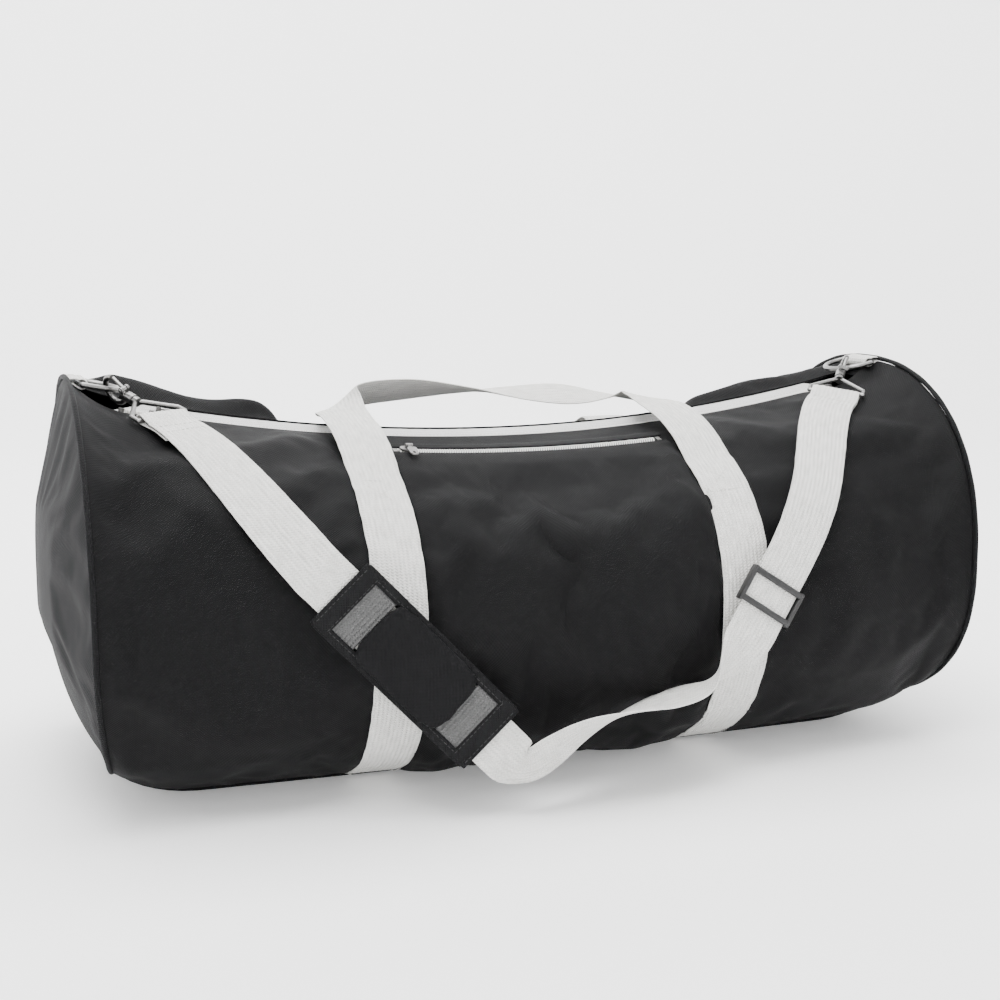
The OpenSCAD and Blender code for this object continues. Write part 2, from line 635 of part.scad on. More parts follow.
front_panel();
rear_panel();
base_panel();
mirror([1, 0, 0]) end_panel();  // left_end_panel
end_panel();  // right_end_panel
mirror([1, 0, 0]) piping();  // left_piping
piping();  // right_piping
mirror([1, 0, 0]) seam_binding();  // left_seam_binding
seam_binding();  // right_seam_binding
main_zip_tape_front();
main_zip_tape_rear();
main_zip_teeth_front();
main_zip_teeth_rear();
main_zip_stops();
main_zip_slider();
main_zip_pull();
pocket_panel();
pocket_zip_tape_upper();
pocket_zip_tape_lower();
pocket_zip_teeth_upper();
pocket_zip_teeth_lower();
pocket_zip_stops();
pocket_zip_slider();
pocket_zip_pull();
front_left_webbing();
front_right_webbing();
rear_left_webbing();
rear_right_webbing();
handle(front_handle_route, front_handle_normals);  // front_handle
handle(rear_handle_route, rear_handle_normals);  // rear_handle
mirror([1, 0, 0]) ring_tab();  // left_ring_tab
ring_tab();  // right_ring_tab
mirror([1, 0, 0]) d_ring();  // left_d_ring
d_ring();  // right_d_ring
mirror([1, 0, 0]) hook_body();  // left_hook_body
hook_body();  // right_hook_body
mirror([1, 0, 0]) hook_gate();  // left_hook_gate
hook_gate();  // right_hook_gate
mirror([1, 0, 0]) gate_pin();  // left_gate_pin
gate_pin();  // right_gate_pin
mirror([1, 0, 0]) gate_spring();  // left_gate_spring
gate_spring();  // right_gate_spring
mirror([1, 0, 0]) swivel_eye();  // left_swivel_eye
swivel_eye();  // right_swivel_eye
shoulder_strap();
mirror([1, 0, 0]) strap_loop();  // left_strap_loop
strap_loop();  // right_strap_loop
strap_slide();
pad_cover();
pad_foam();
pad_backing();
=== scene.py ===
"""Looks of the roll duffel bag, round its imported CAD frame. Lengths are in mm until a mesh is made."""
import math

import bmesh
import bpy
import numpy as np
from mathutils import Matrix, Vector, noise


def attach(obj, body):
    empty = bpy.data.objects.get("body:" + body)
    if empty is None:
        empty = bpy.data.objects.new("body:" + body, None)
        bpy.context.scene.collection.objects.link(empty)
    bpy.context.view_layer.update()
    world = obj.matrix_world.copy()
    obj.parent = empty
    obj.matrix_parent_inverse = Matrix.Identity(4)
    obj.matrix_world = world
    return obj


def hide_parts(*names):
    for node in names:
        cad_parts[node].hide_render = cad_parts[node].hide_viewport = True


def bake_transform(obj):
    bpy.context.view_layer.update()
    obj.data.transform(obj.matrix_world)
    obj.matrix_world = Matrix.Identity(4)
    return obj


MM = 0.001
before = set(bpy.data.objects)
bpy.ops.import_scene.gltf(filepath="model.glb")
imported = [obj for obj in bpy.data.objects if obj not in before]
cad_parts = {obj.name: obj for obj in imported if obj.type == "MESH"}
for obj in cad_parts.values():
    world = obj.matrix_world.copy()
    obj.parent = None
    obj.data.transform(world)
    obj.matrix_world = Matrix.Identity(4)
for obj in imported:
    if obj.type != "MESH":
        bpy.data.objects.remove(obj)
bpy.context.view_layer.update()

# ---- sizes shared with the CAD ----

HALF_L, BODY_W, BODY_H, SAG_H, DOME = 332.0, 318.0, 294.0, 241.0, 24.0
BELLY, POWER, FLOOR_Z, SECTION_LOW = 8.0, 2 / 2.3, 5.0, -3.0
WEB_W, WEB_T, WEB_X = 38.0, 1.8, 131.0
ZIP_R, ZIP_X, POCKET_ZIP_X = 1400.0, 292.0, 104.0
ARC_X = 290.0
ARC_END_Z = SAG_H + ZIP_R - math.sqrt(ZIP_R ** 2 - ARC_X ** 2)
ARC_SLOPE = ARC_X / math.sqrt(ZIP_R ** 2 - ARC_X ** 2)
RISE = (BODY_H - ARC_END_Z - ARC_SLOPE * (HALF_L - ARC_X)) / (HALF_L - ARC_X) ** 2
ZIP_SLIT = 4.5
FABRIC_T = 1.6
POCKET_ANGLE = 19.0
POCKET_BULGE = 11.0
POST_SLOT, TAPE_W, TAPE_T = 0.6, 13.0, 0.8
MAIN_TAPE_H, POCKET_TAPE_H = -FABRIC_T - 1.8, 0.4


def vec(*v):
    return np.array(v, float)


def unit(v):
    return v / np.linalg.norm(v)


def signed_pow(v, e):
    return math.copysign(abs(v) ** e, v)


def top_z(x):
    ax = abs(x)
    if ax <= ARC_X:
        return SAG_H + ZIP_R - math.sqrt(ZIP_R ** 2 - ax * ax)
    return ARC_END_Z + ARC_SLOPE * (ax - ARC_X) + RISE * (ax - ARC_X) ** 2


def half_w(x):
    return BODY_W / 2 + BELLY * (1 - (x / HALF_L) ** 2)


CORNER_X, CORNER_Z, CORNER_LIFT, CORNER_INSET = 252.0, 130.0, 20.0, 16.0


def soften(p):
    """Draws the empty bag's lower ends up and inwards, which rounds their corners."""
    far = max(0, (abs(p[0]) - CORNER_X) / (HALF_L - CORNER_X))
    low = max(0, 1 - p[2] / CORNER_Z) ** 2
    return vec(p[0] - math.copysign(CORNER_INSET * far * far * low, p[0]), p[1],
               p[2] + CORNER_LIFT * far * far * low)


def skin(x, angle, off=0.0):
    """Point of the bag's plain surface at x and an angle from the top towards the front."""
    a = math.radians(angle)
    middle, reach = (top_z(x) + SECTION_LOW) / 2, (top_z(x) - SECTION_LOW) / 2 + off
    z = max(FLOOR_Z - off, middle + reach * signed_pow(math.cos(a), POWER))
    return soften(vec(x, -(half_w(x) + off) * signed_pow(math.sin(a), POWER), z))


def floor_angle(x):
    middle, reach = (top_z(x) + SECTION_LOW) / 2, (top_z(x) - SECTION_LOW) / 2
    return math.degrees(math.acos(signed_pow((FLOOR_Z - middle) / reach, 1 / POWER)))


def angle_at(x, y):
    return math.degrees(math.asin((y / half_w(x)) ** (1 / POWER)))


def rough(p, size, seed=0.0):
    """Smooth noise from -1 to 1 with bumps of about this size."""
    return noise.noise(Vector((p[0] / size, p[1] / size, p[2] / size + seed * 7.3)))


# ---- meshes ----


def add_mesh(name, verts, faces, material, uv=None, smooth=True):
    mesh = bpy.data.meshes.new(name)
    mesh.from_pydata((np.asarray(verts, float) * MM).tolist(), [], faces)
    if uv is not None:
        layer = mesh.uv_layers.new(name="mm")
        index = np.empty(len(mesh.loops), int)
        mesh.loops.foreach_get("vertex_index", index)
        layer.data.foreach_set("uv", (np.asarray(uv, float)[index] * MM).ravel())
    mesh.polygons.foreach_set("use_smooth", [smooth] * len(mesh.polygons))
    mesh.materials.append(material)
    obj = bpy.data.objects.new(name, mesh)
    bpy.context.scene.collection.objects.link(obj)
    return obj


def grid_faces(rows, cols, flip=False, wrap=False, closed=False):
    """Quads between rows of points: wrap joins each row's ends, closed joins the last row to the first."""
    faces = []
    for i in range(rows if closed else rows - 1):
        for j in range(cols if wrap else cols - 1):
            below, k = (i + 1) % rows, (j + 1) % cols
            quad = [i * cols + j, below * cols + j, below * cols + k, i * cols + k]
            faces.append(quad[::-1] if flip else quad)
    return faces


def wire_faces(base, rows, cols):
    """Faces of a closed wire whose points start at base: rows rings of cols points."""
    faces = grid_faces(rows, cols, wrap=True)
    faces.append(list(range(cols)))
    faces.append([(rows - 1) * cols + k for k in range(cols - 1, -1, -1)])
    return [[base + q for q in face] for face in faces]


def add_modifier(obj, kind, **values):
    modifier = obj.modifiers.new(kind.lower(), kind)
    for key, value in values.items():
        setattr(modifier, key, value)
    return modifier


def thicken(obj, thickness=FABRIC_T):
    add_modifier(obj, "SOLIDIFY", thickness=thickness * MM, offset=-1)
    add_modifier(obj, "SUBSURF", levels=1, render_levels=1)


def sewn_on(obj, body, material_slot, *nodes):
    """Makes a piece move with a body and stand for the CAD's nodes."""
    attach(obj, body)
    if nodes:
        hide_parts(*nodes)
    return obj


def side_name(side):
    return "left" if side < 0 else "right"


def coordinates(mesh):
    out = np.empty(len(mesh.vertices) * 3)
    mesh.vertices.foreach_get("co", out)
    return out.reshape(-1, 3)


CLOTH_FRAMES, CLOTH_MASS = 20, 0.2
STRETCH_STIFFNESS, SHEAR_STIFFNESS, BENDING_STIFFNESS = 20, 8, 0.4


def settle(obj, pins, cap, pressure, growth):
    """Runs Cloth on a piece, keeps each point within cap millimetres of its start, and applies it."""
    start = coordinates(obj.data)
    group = obj.vertex_groups.new(name="pins")
    for i, weight in enumerate(pins):
        if weight > 0:
            group.add([i], float(weight), "REPLACE")
    modifier = add_modifier(obj, "CLOTH")
    cloth = modifier.settings
    cloth.vertex_group_mass = "pins"
    cloth.quality = 5
    cloth.mass = CLOTH_MASS
    cloth.tension_stiffness = STRETCH_STIFFNESS
    cloth.compression_stiffness = STRETCH_STIFFNESS
    cloth.shear_stiffness = SHEAR_STIFFNESS
    cloth.bending_stiffness = BENDING_STIFFNESS
    cloth.use_pressure = True
    cloth.uniform_pressure_force = pressure
    cloth.shrink_min = -growth
    cloth.effector_weights.gravity = 0
    modifier.point_cache.frame_start = 1
    modifier.point_cache.frame_end = CLOTH_FRAMES
    for f in range(1, CLOTH_FRAMES + 1):
        bpy.context.scene.frame_set(f)
    evaluated = obj.evaluated_get(bpy.context.evaluated_depsgraph_get())
    shift = coordinates(evaluated.data) - start
    length = np.linalg.norm(shift, axis=1, keepdims=True)
    shift *= np.minimum(1, cap * MM / np.maximum(length, 1e-9))
    obj.modifiers.remove(modifier)
    bpy.context.scene.frame_set(1)
    end = start + shift
    obj.data.vertices.foreach_set("co", end.ravel())
    obj.data.update()
    return end / MM


class Surface:
    """A sewn panel after its folds: gives points and normals on it by x and angle."""

    def __init__(self, points, side):
        self.points, self.side = points, side
        self.rows, self.cols = points.shape[:2]

    def sample(self, u, v):
        u, v = min(max(u, 0), self.rows - 1.001), min(max(v, 0), self.cols - 1.001)
        i, j = int(u), int(v)
        fu, fv = u - i, v - j
        p = self.points
        return ((p[i, j] * (1 - fv) + p[i, j + 1] * fv) * (1 - fu)
                + (p[i + 1, j] * (1 - fv) + p[i + 1, j + 1] * fv) * fu)

    def at(self, x, angle, off=0.0):
        start, end = angle_at(x, ZIP_SLIT), floor_angle(x)
        u = (x + SEAM_X) / (2 * SEAM_X) * (self.rows - 1)
        v = (angle - start) / (end - start) * (self.cols - 1)
        along = self.sample(u + 1.5, v) - self.sample(u - 1.5, v)
        down = self.sample(u, v + 1.5) - self.sample(u, v - 1.5)
        normal = unit(np.cross(down, along) * self.side)
        return self.sample(u, v) + normal * off, normal

    def line(self, places, off):
        """Points through places, each given by x and angle, and the normals there."""
        pairs = [self.at(x, angle, off) for x, angle in places]
        return [p for p, _ in pairs], [n for _, n in pairs]


def smooth_path(points, m):
    """Points of a smooth curve through the given ones, with m steps between each two."""
    p = [vec(*q) for q in points]
    p = [2 * p[0] - p[1]] + p + [2 * p[-1] - p[-2]]
    out = []
    for a, b, c, d in zip(p, p[1:], p[2:], p[3:]):
        for k in range(m):
            t = k / m
            out.append((2 * b + (c - a) * t + (2 * a - 5 * b + 4 * c - d) * t * t
                        + (3 * b - a - 3 * c + d) * t ** 3) / 2)
    return out + [p[-2]]


def resample(path, ups, step):
    """The same path and its face directions at even steps."""
    path, ups = np.array(path), np.array(ups)
    s = np.r_[0, np.cumsum(np.linalg.norm(np.diff(path, axis=0), axis=1))]
    at = np.linspace(0, s[-1], max(2, int(s[-1] / step) + 1))
    return (np.stack([np.interp(at, s, path[:, k]) for k in range(3)], 1),
            np.stack([np.interp(at, s, ups[:, k]) for k in range(3)], 1))


# Spacing of the ridges along webbing, their height, and the spans across each face
RIDGE, RIDGE_H, BAND_SPANS = 3.17, 0.16, 36


def band(name, path, ups, material, width=WEB_W, thick=WEB_T, step=3.0):
    """Ribbed webbing along a path, with a real thickness and soft selvedges."""
    path, ups = resample(path, ups, step)
    n = BAND_SPANS
    verts, uv = [], []
    s = 0.0
    for i, p in enumerate(path):
        along = unit(path[min(i + 1, len(path) - 1)] - path[max(i - 1, 0)])
        if i:
            s += np.linalg.norm(p - path[i - 1])
        up = unit(ups[i] - ups[i].dot(along) * along)
        across = np.cross(up, along)
        half = width / 2 + 0.25 * rough((s, 0, 0), 9)
        for j in range(2 * n + 2):
            top = j <= n
            u = -1 + 2 * (j if top else 2 * n + 1 - j) / n
            h = thick / 2 * (1 - 0.55 * abs(u) ** 14) - 0.1
            h += RIDGE_H * math.cos(2 * math.pi * u * half / RIDGE)
            h += 0.12 * rough((s, u * half, 3 if top else 9), 5)
            verts.append(p + across * u * half + up * (h if top else -h))
            uv.append((u * half, s))
    ring = 2 * n + 2
    faces = grid_faces(len(path), ring, wrap=True)
    last = (len(path) - 1) * ring
    for j in range(n):
        a, b = j, 2 * n + 1 - j
        faces.append([a, a + 1, b - 1, b])
        faces.append([last + a, last + b, last + b - 1, last + a + 1])
    return add_mesh(name, verts, faces, material, uv)


class Stitches:
    """Collects runs of sewing thread and makes one mesh of them."""

    def __init__(self):
        self.verts, self.faces = [], []

    def run(self, path, ups, pitch=3.6, length=2.7, radius=0.3, lift=0.12):
        path, ups = resample(path, ups, pitch)
        for i in range(len(path) - 1):
            middle, up = (path[i] + path[i + 1]) / 2, unit(ups[i])
            along = unit(path[i + 1] - path[i])
            side = unit(np.cross(along, up))
            base = len(self.verts)
            for f, r in ((-0.5, 0.35), (-0.3, 0.9), (0, 1), (0.3, 0.9), (0.5, 0.35)):
                for k in range(6):
                    a = k * math.pi / 3
                    offset = math.cos(a) * side + math.sin(a) * up
                    sink = lift if abs(f) < 0.4 else lift - 0.3
                    self.verts.append(middle + along * f * length + up * sink + offset * radius * r)
            self.faces += wire_faces(base, 5, 6)

    def make(self, name, material):
        return add_mesh(name, self.verts, self.faces, material)


# ---- materials ----


class Shader:
    """A Principled material whose inputs are fed by small node chains."""

    def __init__(self, name, color, rough, metal=0.0, sheen=0.0, gloss=0.5):
        self.material = bpy.data.materials.new(name)
        self.material.use_nodes = True
        self.tree = self.material.node_tree
        self.main = self.tree.nodes["Principled BSDF"]
        self.main.inputs["Base Color"].default_value = (*color, 1)
        self.main.inputs["Roughness"].default_value = rough
        self.main.inputs["Metallic"].default_value = metal
        self.main.inputs["Sheen Weight"].default_value = sheen
        self.main.inputs["Sheen Roughness"].default_value = 0.45
        self.main.inputs["Specular IOR Level"].default_value = gloss
        self.color, self.rough = color, rough
        self.bump = None

    def node(self, kind, **values):
        node = self.tree.nodes.new("ShaderNode" + kind)
        for key, value in values.items():
            if key in node.inputs:
                node.inputs[key].default_value = value
            else:
                setattr(node, key.lower(), value)
        return node

    def link(self, a, b):
        self.tree.links.new(a, b)

    def math(self, operation, a, b=None):
        node = self.node("Math", operation=operation)
        for socket, value in zip(node.inputs, (a, b)):
            if value is None:
                continue
            if isinstance(value, (int, float)):
                socket.default_value = value
            else:
                self.link(value, socket)
        return node.outputs[0]

    def place(self, uv):
        node = self.node("TexCoord")
        return node.outputs["UV" if uv else "Object"]

    def noise(self, where, scale, detail=4.0, stretch=None):
        if stretch:
            mapping = self.node("Mapping", Scale=stretch)
            self.link(where, mapping.inputs["Vector"])
            where = mapping.outputs[0]
        node = self.node("TexNoise", Scale=scale, Detail=detail)
        self.link(where, node.inputs["Vector"])
        return node.outputs["Fac"]

    def span(self, value, low, high):
        node = self.node("MapRange")
        node.inputs["To Min"].default_value = low
        node.inputs["To Max"].default_value = high
        self.link(value, node.inputs["Value"])
        return node.outputs["Result"]

    def vary_color(self, value, dark, light):
        node = self.node("Mix", data_type="RGBA")
        for socket, shade in zip([s for s in node.inputs if s.type == "RGBA"], (dark, light)):
            socket.default_value = (*[min(1, c * shade) for c in self.color], 1)
        self.link(value, node.inputs["Factor"])
        out = [s for s in node.outputs if s.type == "RGBA"][0]
        self.link(out, self.main.inputs["Base Color"])

    def vary_rough(self, value, low, high):
        self.link(self.span(value, low, high), self.main.inputs["Roughness"])

    def raise_by(self, value, height, strength=1.0):
        node = self.node("Bump", Strength=strength, Distance=height)
        self.link(value, node.inputs["Height"])
        if self.bump:
            self.link(self.bump, node.inputs["Normal"])
        self.bump = node.outputs["Normal"]
        self.link(self.bump, self.main.inputs["Normal"])

    def weave(self, where, pitch):
        """Height of a plain weave; the pitch is in metres, as the coordinates are."""
        split = self.node("SeparateXYZ")
        self.link(where, split.inputs[0])
        waves = []
        for axis in range(3):
            turn = self.math("MULTIPLY", split.outputs[axis], math.pi / pitch)
            waves.append(self.math("SINE", turn))
        product = self.math("MULTIPLY", waves[0], waves[1])
        return self.math("ADD", product, self.math("MULTIPLY", waves[2], 0.4))


def fabric(name, color, rough=0.64, pitch=0.0011, uv=True, sheen=0.0, grain=1.0, gloss=0.09):
    """Woven fabric with a faint mottle, painted shade in the hollows of its weave, and small bumps."""
    s = Shader(name, color, rough, sheen=sheen, gloss=gloss)
    where = s.place(uv)
    cloud = s.noise(s.place(False), 14)
    fibre = s.noise(where, 900, 2)
    weave = s.weave(where, pitch)
    mottle = s.math("ADD", s.math("MULTIPLY", cloud, 0.6), s.math("MULTIPLY", fibre, 0.4))
    # The weave's height darkens its hollows a little: painted shade. The mottle is the cloth's own random
    # tone.
    s.vary_color(s.math("ADD", mottle, s.math("MULTIPLY", weave, 0.12)), 0.55, 1.5)
    s.vary_rough(cloud, rough - 0.1, min(1, rough + 0.14))
    s.raise_by(s.noise(s.place(False), 55, 3), 0.0012, 0.35)
    s.raise_by(weave, 0.00022, 0.6 * grain)
    return s.material


# Length of one crosswise pick of webbing, in metres
PICK = 0.0021


def webbing(name, color, groove_shade_and_streak_dark=0.62):
    """Flat ribbed webbing: lengthwise ridges with crosswise picks that alternate from ridge to ridge."""
    s = Shader(name, color, 0.62, sheen=0.1, gloss=0.3)
    where = s.place(True)
    split = s.node("SeparateXYZ")
    s.link(where, split.inputs[0])
    across = s.math("MULTIPLY", split.outputs[0], 2 * math.pi / (RIDGE * MM))
    along = s.math("MULTIPLY", split.outputs[1], 2 * math.pi / PICK)
    lean = s.math("MULTIPLY", s.math("SINE", across), 1.6)
    picks = s.math("SINE", s.math("ADD", along, lean))
    ridge = s.math("COSINE", across)
    height = s.math("ADD", s.math("MULTIPLY", picks, 0.6), s.math("MULTIPLY", ridge, 0.5))
    cloud = s.noise(s.place(False), 26)
    fibre = s.noise(where, 1500, 3, (1, 0.25, 1))
    streak = s.noise(where, 430, 2, (1, 0.22, 1))
    streak = s.math("MULTIPLY", s.span(streak, -0.35, 1.1), 0.75)
    # The height of the ridges and picks darkens the grooves between them: painted shade. The lengthwise
    # streaks and the mottle are the yarn's own random tone.
    tone = s.math("ADD", s.math("MULTIPLY", height, 0.2), streak)
    tone = s.math("ADD", tone, s.math("MULTIPLY", s.math("ADD", cloud, fibre), 0.22))
    s.vary_color(tone, groove_shade_and_streak_dark, 1.06)
    s.vary_rough(fibre, 0.5, 0.8)
    s.raise_by(height, 0.00045, 0.9)
    s.raise_by(fibre, 0.0001, 0.5)
    return s.material


def metal(name, color, rough=0.3):
    """Plated metal with fine scratches."""
    s = Shader(name, color, rough, metal=1.0)
    where = s.place(False)
    cloud, scratch = s.noise(where, 160), s.noise(where, 900, 5, (1, 8, 1))
    s.vary_color(cloud, 0.62, 1.15)
    s.vary_rough(scratch, rough - 0.1, rough + 0.2)
    s.raise_by(scratch, 0.00008, 0.4)
    return s.material


def plastic(name, color, rough=0.45, grain=420):
    """Moulded plastic or thread with a fine grain."""
    s = Shader(name, color, rough)
    where = s.place(False)
    cloud, fine = s.noise(where, 60), s.noise(where, grain, 3)
    s.vary_color(cloud, 0.8, 1.15)
    s.vary_rough(fine, rough - 0.08, rough + 0.12)
    s.raise_by(fine, 0.0001, 0.4)
    return s.material


cloth_mat = fabric("bag_cloth", (0.0042, 0.0042, 0.0045))
# The end panels' cloth is the body's black cloth painted lighter, because the ends face the light: painted
# light.
painted_lit_end_mat = fabric("end_cloth", (0.0065, 0.0065, 0.007))
board_mat = fabric("base_cloth", (0.007, 0.007, 0.0075), 0.85, 0.0014, uv=False)
pad_mat = fabric("pad_cloth", (0.005, 0.005, 0.0055), 0.7, 0.0012, uv=False)
bind_mat = fabric("binding_tape", (0.006, 0.006, 0.0065), 0.6, 0.0008, uv=False, grain=1.4)
web_mat = webbing("white_webbing", (0.80, 0.79, 0.76))
# Grey webbing is painted shade: it fills the pad's windows, where the white strap shows in shadow.
window_shade_web_mat = webbing("window_shade_webbing", (0.085, 0.085, 0.085), 0.8)
tape_mat = fabric("zip_tape", (0.74, 0.73, 0.70), 0.7, 0.0007, uv=False, sheen=0.2)
coil_mat = plastic("zip_coil", (0.80, 0.79, 0.76), 0.4)
white_thread = plastic("white_thread", (0.58, 0.57, 0.55), 0.6, 2500)
black_thread = plastic("black_thread", (0.011, 0.011, 0.0115), 0.6, 2500)
nickel = metal("nickel_plate", (0.27, 0.267, 0.262), 0.26)
dark_nickel = metal("zip_metal", (0.25, 0.245, 0.24), 0.36)
acetal = plastic("black_acetal", (0.006, 0.006, 0.0065), 0.4)

# ---- camera, floor and light ----

# The camera's place in metres, how far it looks down and to the right in degrees, and its lens
CAMERA_AT, LOOK_DOWN, LOOK_RIGHT = (-0.407, -1.150, 0.388), 9.25, 19.4
LENS, SENSOR = 55.8, 36
camera = bpy.data.objects.new("camera", bpy.data.cameras.new("camera"))
camera.location = CAMERA_AT
camera.rotation_euler = (math.radians(90 - LOOK_DOWN), 0, math.radians(-LOOK_RIGHT))
camera.data.lens = LENS
camera.data.sensor_width = SENSOR
bpy.context.scene.collection.objects.link(camera)
bpy.context.scene.camera = camera

WHITE = (1, 1, 1, 1)
FLOOR_R, COVE_R, WALL_H = 2200, 900, 3200


def studio_floor(spokes=96):
    """Pale floor that curves up into a wall all round."""
    shader = Shader("studio_floor", (0.96, 0.96, 0.96), 0.6)
    shader.vary_rough(shader.noise(shader.place(False), 3), 0.5, 0.65)
    shader.main.inputs["Emission Color"].default_value = WHITE
    shader.main.inputs["Emission Strength"].default_value = 0.22
    profile = [(1, 0), (900, 0), (FLOOR_R, 0)]
    profile += [(FLOOR_R + COVE_R * math.sin(a), COVE_R - COVE_R * math.cos(a))
                for a in np.radians(range(6, 91, 6))]
    profile.append((FLOOR_R + COVE_R, WALL_H))
    turns = np.linspace(0, 2 * math.pi, spokes, False)
    verts = [vec(r * math.cos(a), r * math.sin(a), z) for r, z in profile for a in turns]
    faces = grid_faces(len(profile), spokes, wrap=True) + [list(range(spokes))]
    return add_mesh("studio_floor", verts, faces, shader.material)


floor = studio_floor()


def area_light(name, place, target, size, power):
    """Square light; its place, target and size are in metres and its power in watts."""
    light = bpy.data.lights.new(name, "AREA")
    light.energy, light.size = power, size
    obj = bpy.data.objects.new(name, light)
    obj.location = place
    obj.rotation_euler = (Vector(target) - Vector(place)).to_track_quat("-Z", "Y").to_euler()
    bpy.context.scene.collection.objects.link(obj)


area_light("key", (-0.6, -0.9, 2.3), (0, 0, 0.1), 1.1, 52)
area_light("top", (0.2, 0.2, 2.5), (0, 0.1, 0), 2.2, 100)
area_light("backdrop", (0, 1.2, 2.4), (0, 3, 0.6), 2.2, 85)
world = bpy.data.worlds.new("studio")
world.use_nodes = True
world.node_tree.nodes["Background"].inputs["Color"].default_value = WHITE
world.node_tree.nodes["Background"].inputs["Strength"].default_value = 0.42
bpy.context.scene.world = world

# ---- side panels ----

SEAM_X = HALF_L - 0.4
ROWS, COLS = 135, 84
# Length of a side panel from the zip to the base, and how far it is pressed down under each hook
PANEL_RUN = 430
HOOK_X, HOOK_DENT = 300, 3.2


def under_hook(x, angle, side):
    """From 0 to 1 where the hooks of the strap hang just over the fabric."""
    if side > 0:
        return 0
    return math.exp(-((abs(x) - HOOK_X) / 26) ** 4) * math.exp(-(angle / 13) ** 4)


def calm(x, angle, side):
    """How freely the fabric may fold: little where webbing or the pocket's zip is sewn to it."""
    free = (1 - 0.7 * math.exp(-((abs(x) - WEB_X) / 24) ** 2)) * (1 - under_hook(x, angle, side))
    if side < 0 and abs(x) < 122:
        free *= 1 - 0.95 * math.exp(-((angle - POCKET_ANGLE) / 7) ** 4)
    return free


def fold_depth(x, t, side):
    """Depth of the soft folds that the empty bag's fabric takes, in millimetres."""
    edge = math.sin(math.pi * min(1, t * 1.02)) ** 0.5 if 0 < t < 0.98 else 0
    seam = min(1, (SEAM_X - abs(x)) / 26)
    near_end = math.exp(-(SEAM_X - abs(x)) / 75)
    down = t * 420
    swirl = rough((x, down, 0), 85, side)
    gather = math.sin(t * 34 + swirl * 3.4 + side) * 4.2 * near_end
    drag = 6.5 * rough((x * 0.5 + t * 150, down, 5), 60, side + 2)
    small = 1.5 * rough((x, down, 11), 27, side + 5)
    return edge * seam * (gather + drag + small - 3)


# Height of the rolled edge, and height, distance from the zip and inner end of the flaps
ROLL_H, FLAP_H, FLAP_Y, FLAP_X = 6, 22, 36, 176


def beside_zip(p, side):
    """Lifts the fabric behind the zip: a rolled edge along it, and a flap towards each end."""
    if side < 0:
        return p
    fade = min(1, max(0, (SEAM_X - abs(p[0])) / 34))
    roll = max(0, 1 - (abs(p[1]) - ZIP_SLIT) / 22) ** 2 * fade
    flap = FLAP_H * math.exp(-((abs(p[1]) - FLAP_Y) / 15) ** 2) * fade
    flap *= 1 / (1 + math.exp(-(abs(p[0]) - FLAP_X) / 4)) * (1 - 0.35 * (p[0] > 0))
    sag = 1 + 0.12 * math.sin(p[0] / 17)
    return p + vec(0, -6.5 * roll, ROLL_H * roll + flap * sag)


def side_panel(name, side, node):
    """Folded sheet from the zip to the base: side is -1 for the front and 1 for the rear."""
    points = np.zeros((ROWS, COLS, 3))
    uv = []
    xs = np.linspace(-SEAM_X, SEAM_X, ROWS)
    for i, x in enumerate(xs):
        start, end = angle_at(x, ZIP_SLIT), floor_angle(x)
        for j, t in enumerate(np.linspace(0, 1, COLS)):
            angle = start + (end - start) * t
            p = skin(x, angle)
            out = unit(skin(x, angle, 4) - p + vec(1e-6, 0, 0))
            p = p + out * fold_depth(x, t, side) * calm(x, angle, side)
            p = beside_zip(p, side) - out * HOOK_DENT * under_hook(x, angle, side)
            p[1] *= -side
            points[i, j] = p
            uv.append((x, t * PANEL_RUN))
    obj = add_mesh(name, points.reshape(-1, 3), grid_faces(ROWS, COLS, flip=side > 0), cloth_mat, uv)
    pins = np.zeros((ROWS, COLS))
    pins[[0, 1, -2, -1], :] = 1
    pins[:, [0, 1, -2, -1]] = 1
    pins[np.abs(np.abs(xs) - WEB_X) < 14, :] = 0.7
    if side < 0:
        pins[np.ix_(np.abs(xs) < 118, range(2, 12))] = 0.9
    near_hook = np.abs(np.abs(xs) - HOOK_X - 2) < 30
    pins[np.ix_(near_hook, range(2, 14))] = 0.95
    settled = settle(obj, pins.ravel(), 4, 0.3, 0.012)
    thicken(obj)
    sewn_on(obj, "bag", "black_fabric", node)
    return Surface(settled.reshape(ROWS, COLS, 3), -side)


front = side_panel("front_cloth", -1, "front_panel")
rear = side_panel("rear_cloth", 1, "rear_panel")


# ---- ends, piping and base ----


def end_panel(side):
    """Domed sheet with shallow gathers beside its seam."""
    name = side_name(side)
    spokes, radii = 144, np.r_[0.015, np.linspace(0.05, 1, 34)]
    centre_z = BODY_H * 0.48
    verts, uv = [], []
    for r in radii:
        for k in range(spokes):
            a = 360 * k / spokes
            p = skin(HALF_L, a)
            inset = (HALF_L - p[0]) * r ** 3
            y, z = p[1] * r, centre_z + (p[2] - centre_z) * r
            dome = DOME * (1 - r ** 2.4) + 1.2 * rough((y, z, side * 40), 70) * (1 - r)
            depth = 0.9 * max(0, 0.6 + rough((y, z, side * 27), 90)) * math.sin(math.pi * r ** 6)
            gather = depth * math.sin(a * 0.42 + 5 * rough((y, z, side * 9), 60))
            verts.append((side * (HALF_L + dome - 1.5 * (1 - r) + gather - inset), y, z))
            uv.append((y, z))
    faces = grid_faces(len(radii), spokes, flip=side < 0, wrap=True)
    faces.append(list(range(spokes))[::side])
    obj = add_mesh(name + "_end_cloth", verts, faces, painted_lit_end_mat, uv)
    pins = np.repeat((radii > 0.955).astype(float), spokes)
    settle(obj, pins, 3, 0.3, 0.008)
    thicken(obj)
    return sewn_on(obj, "bag", "black_fabric", name + "_end_panel")


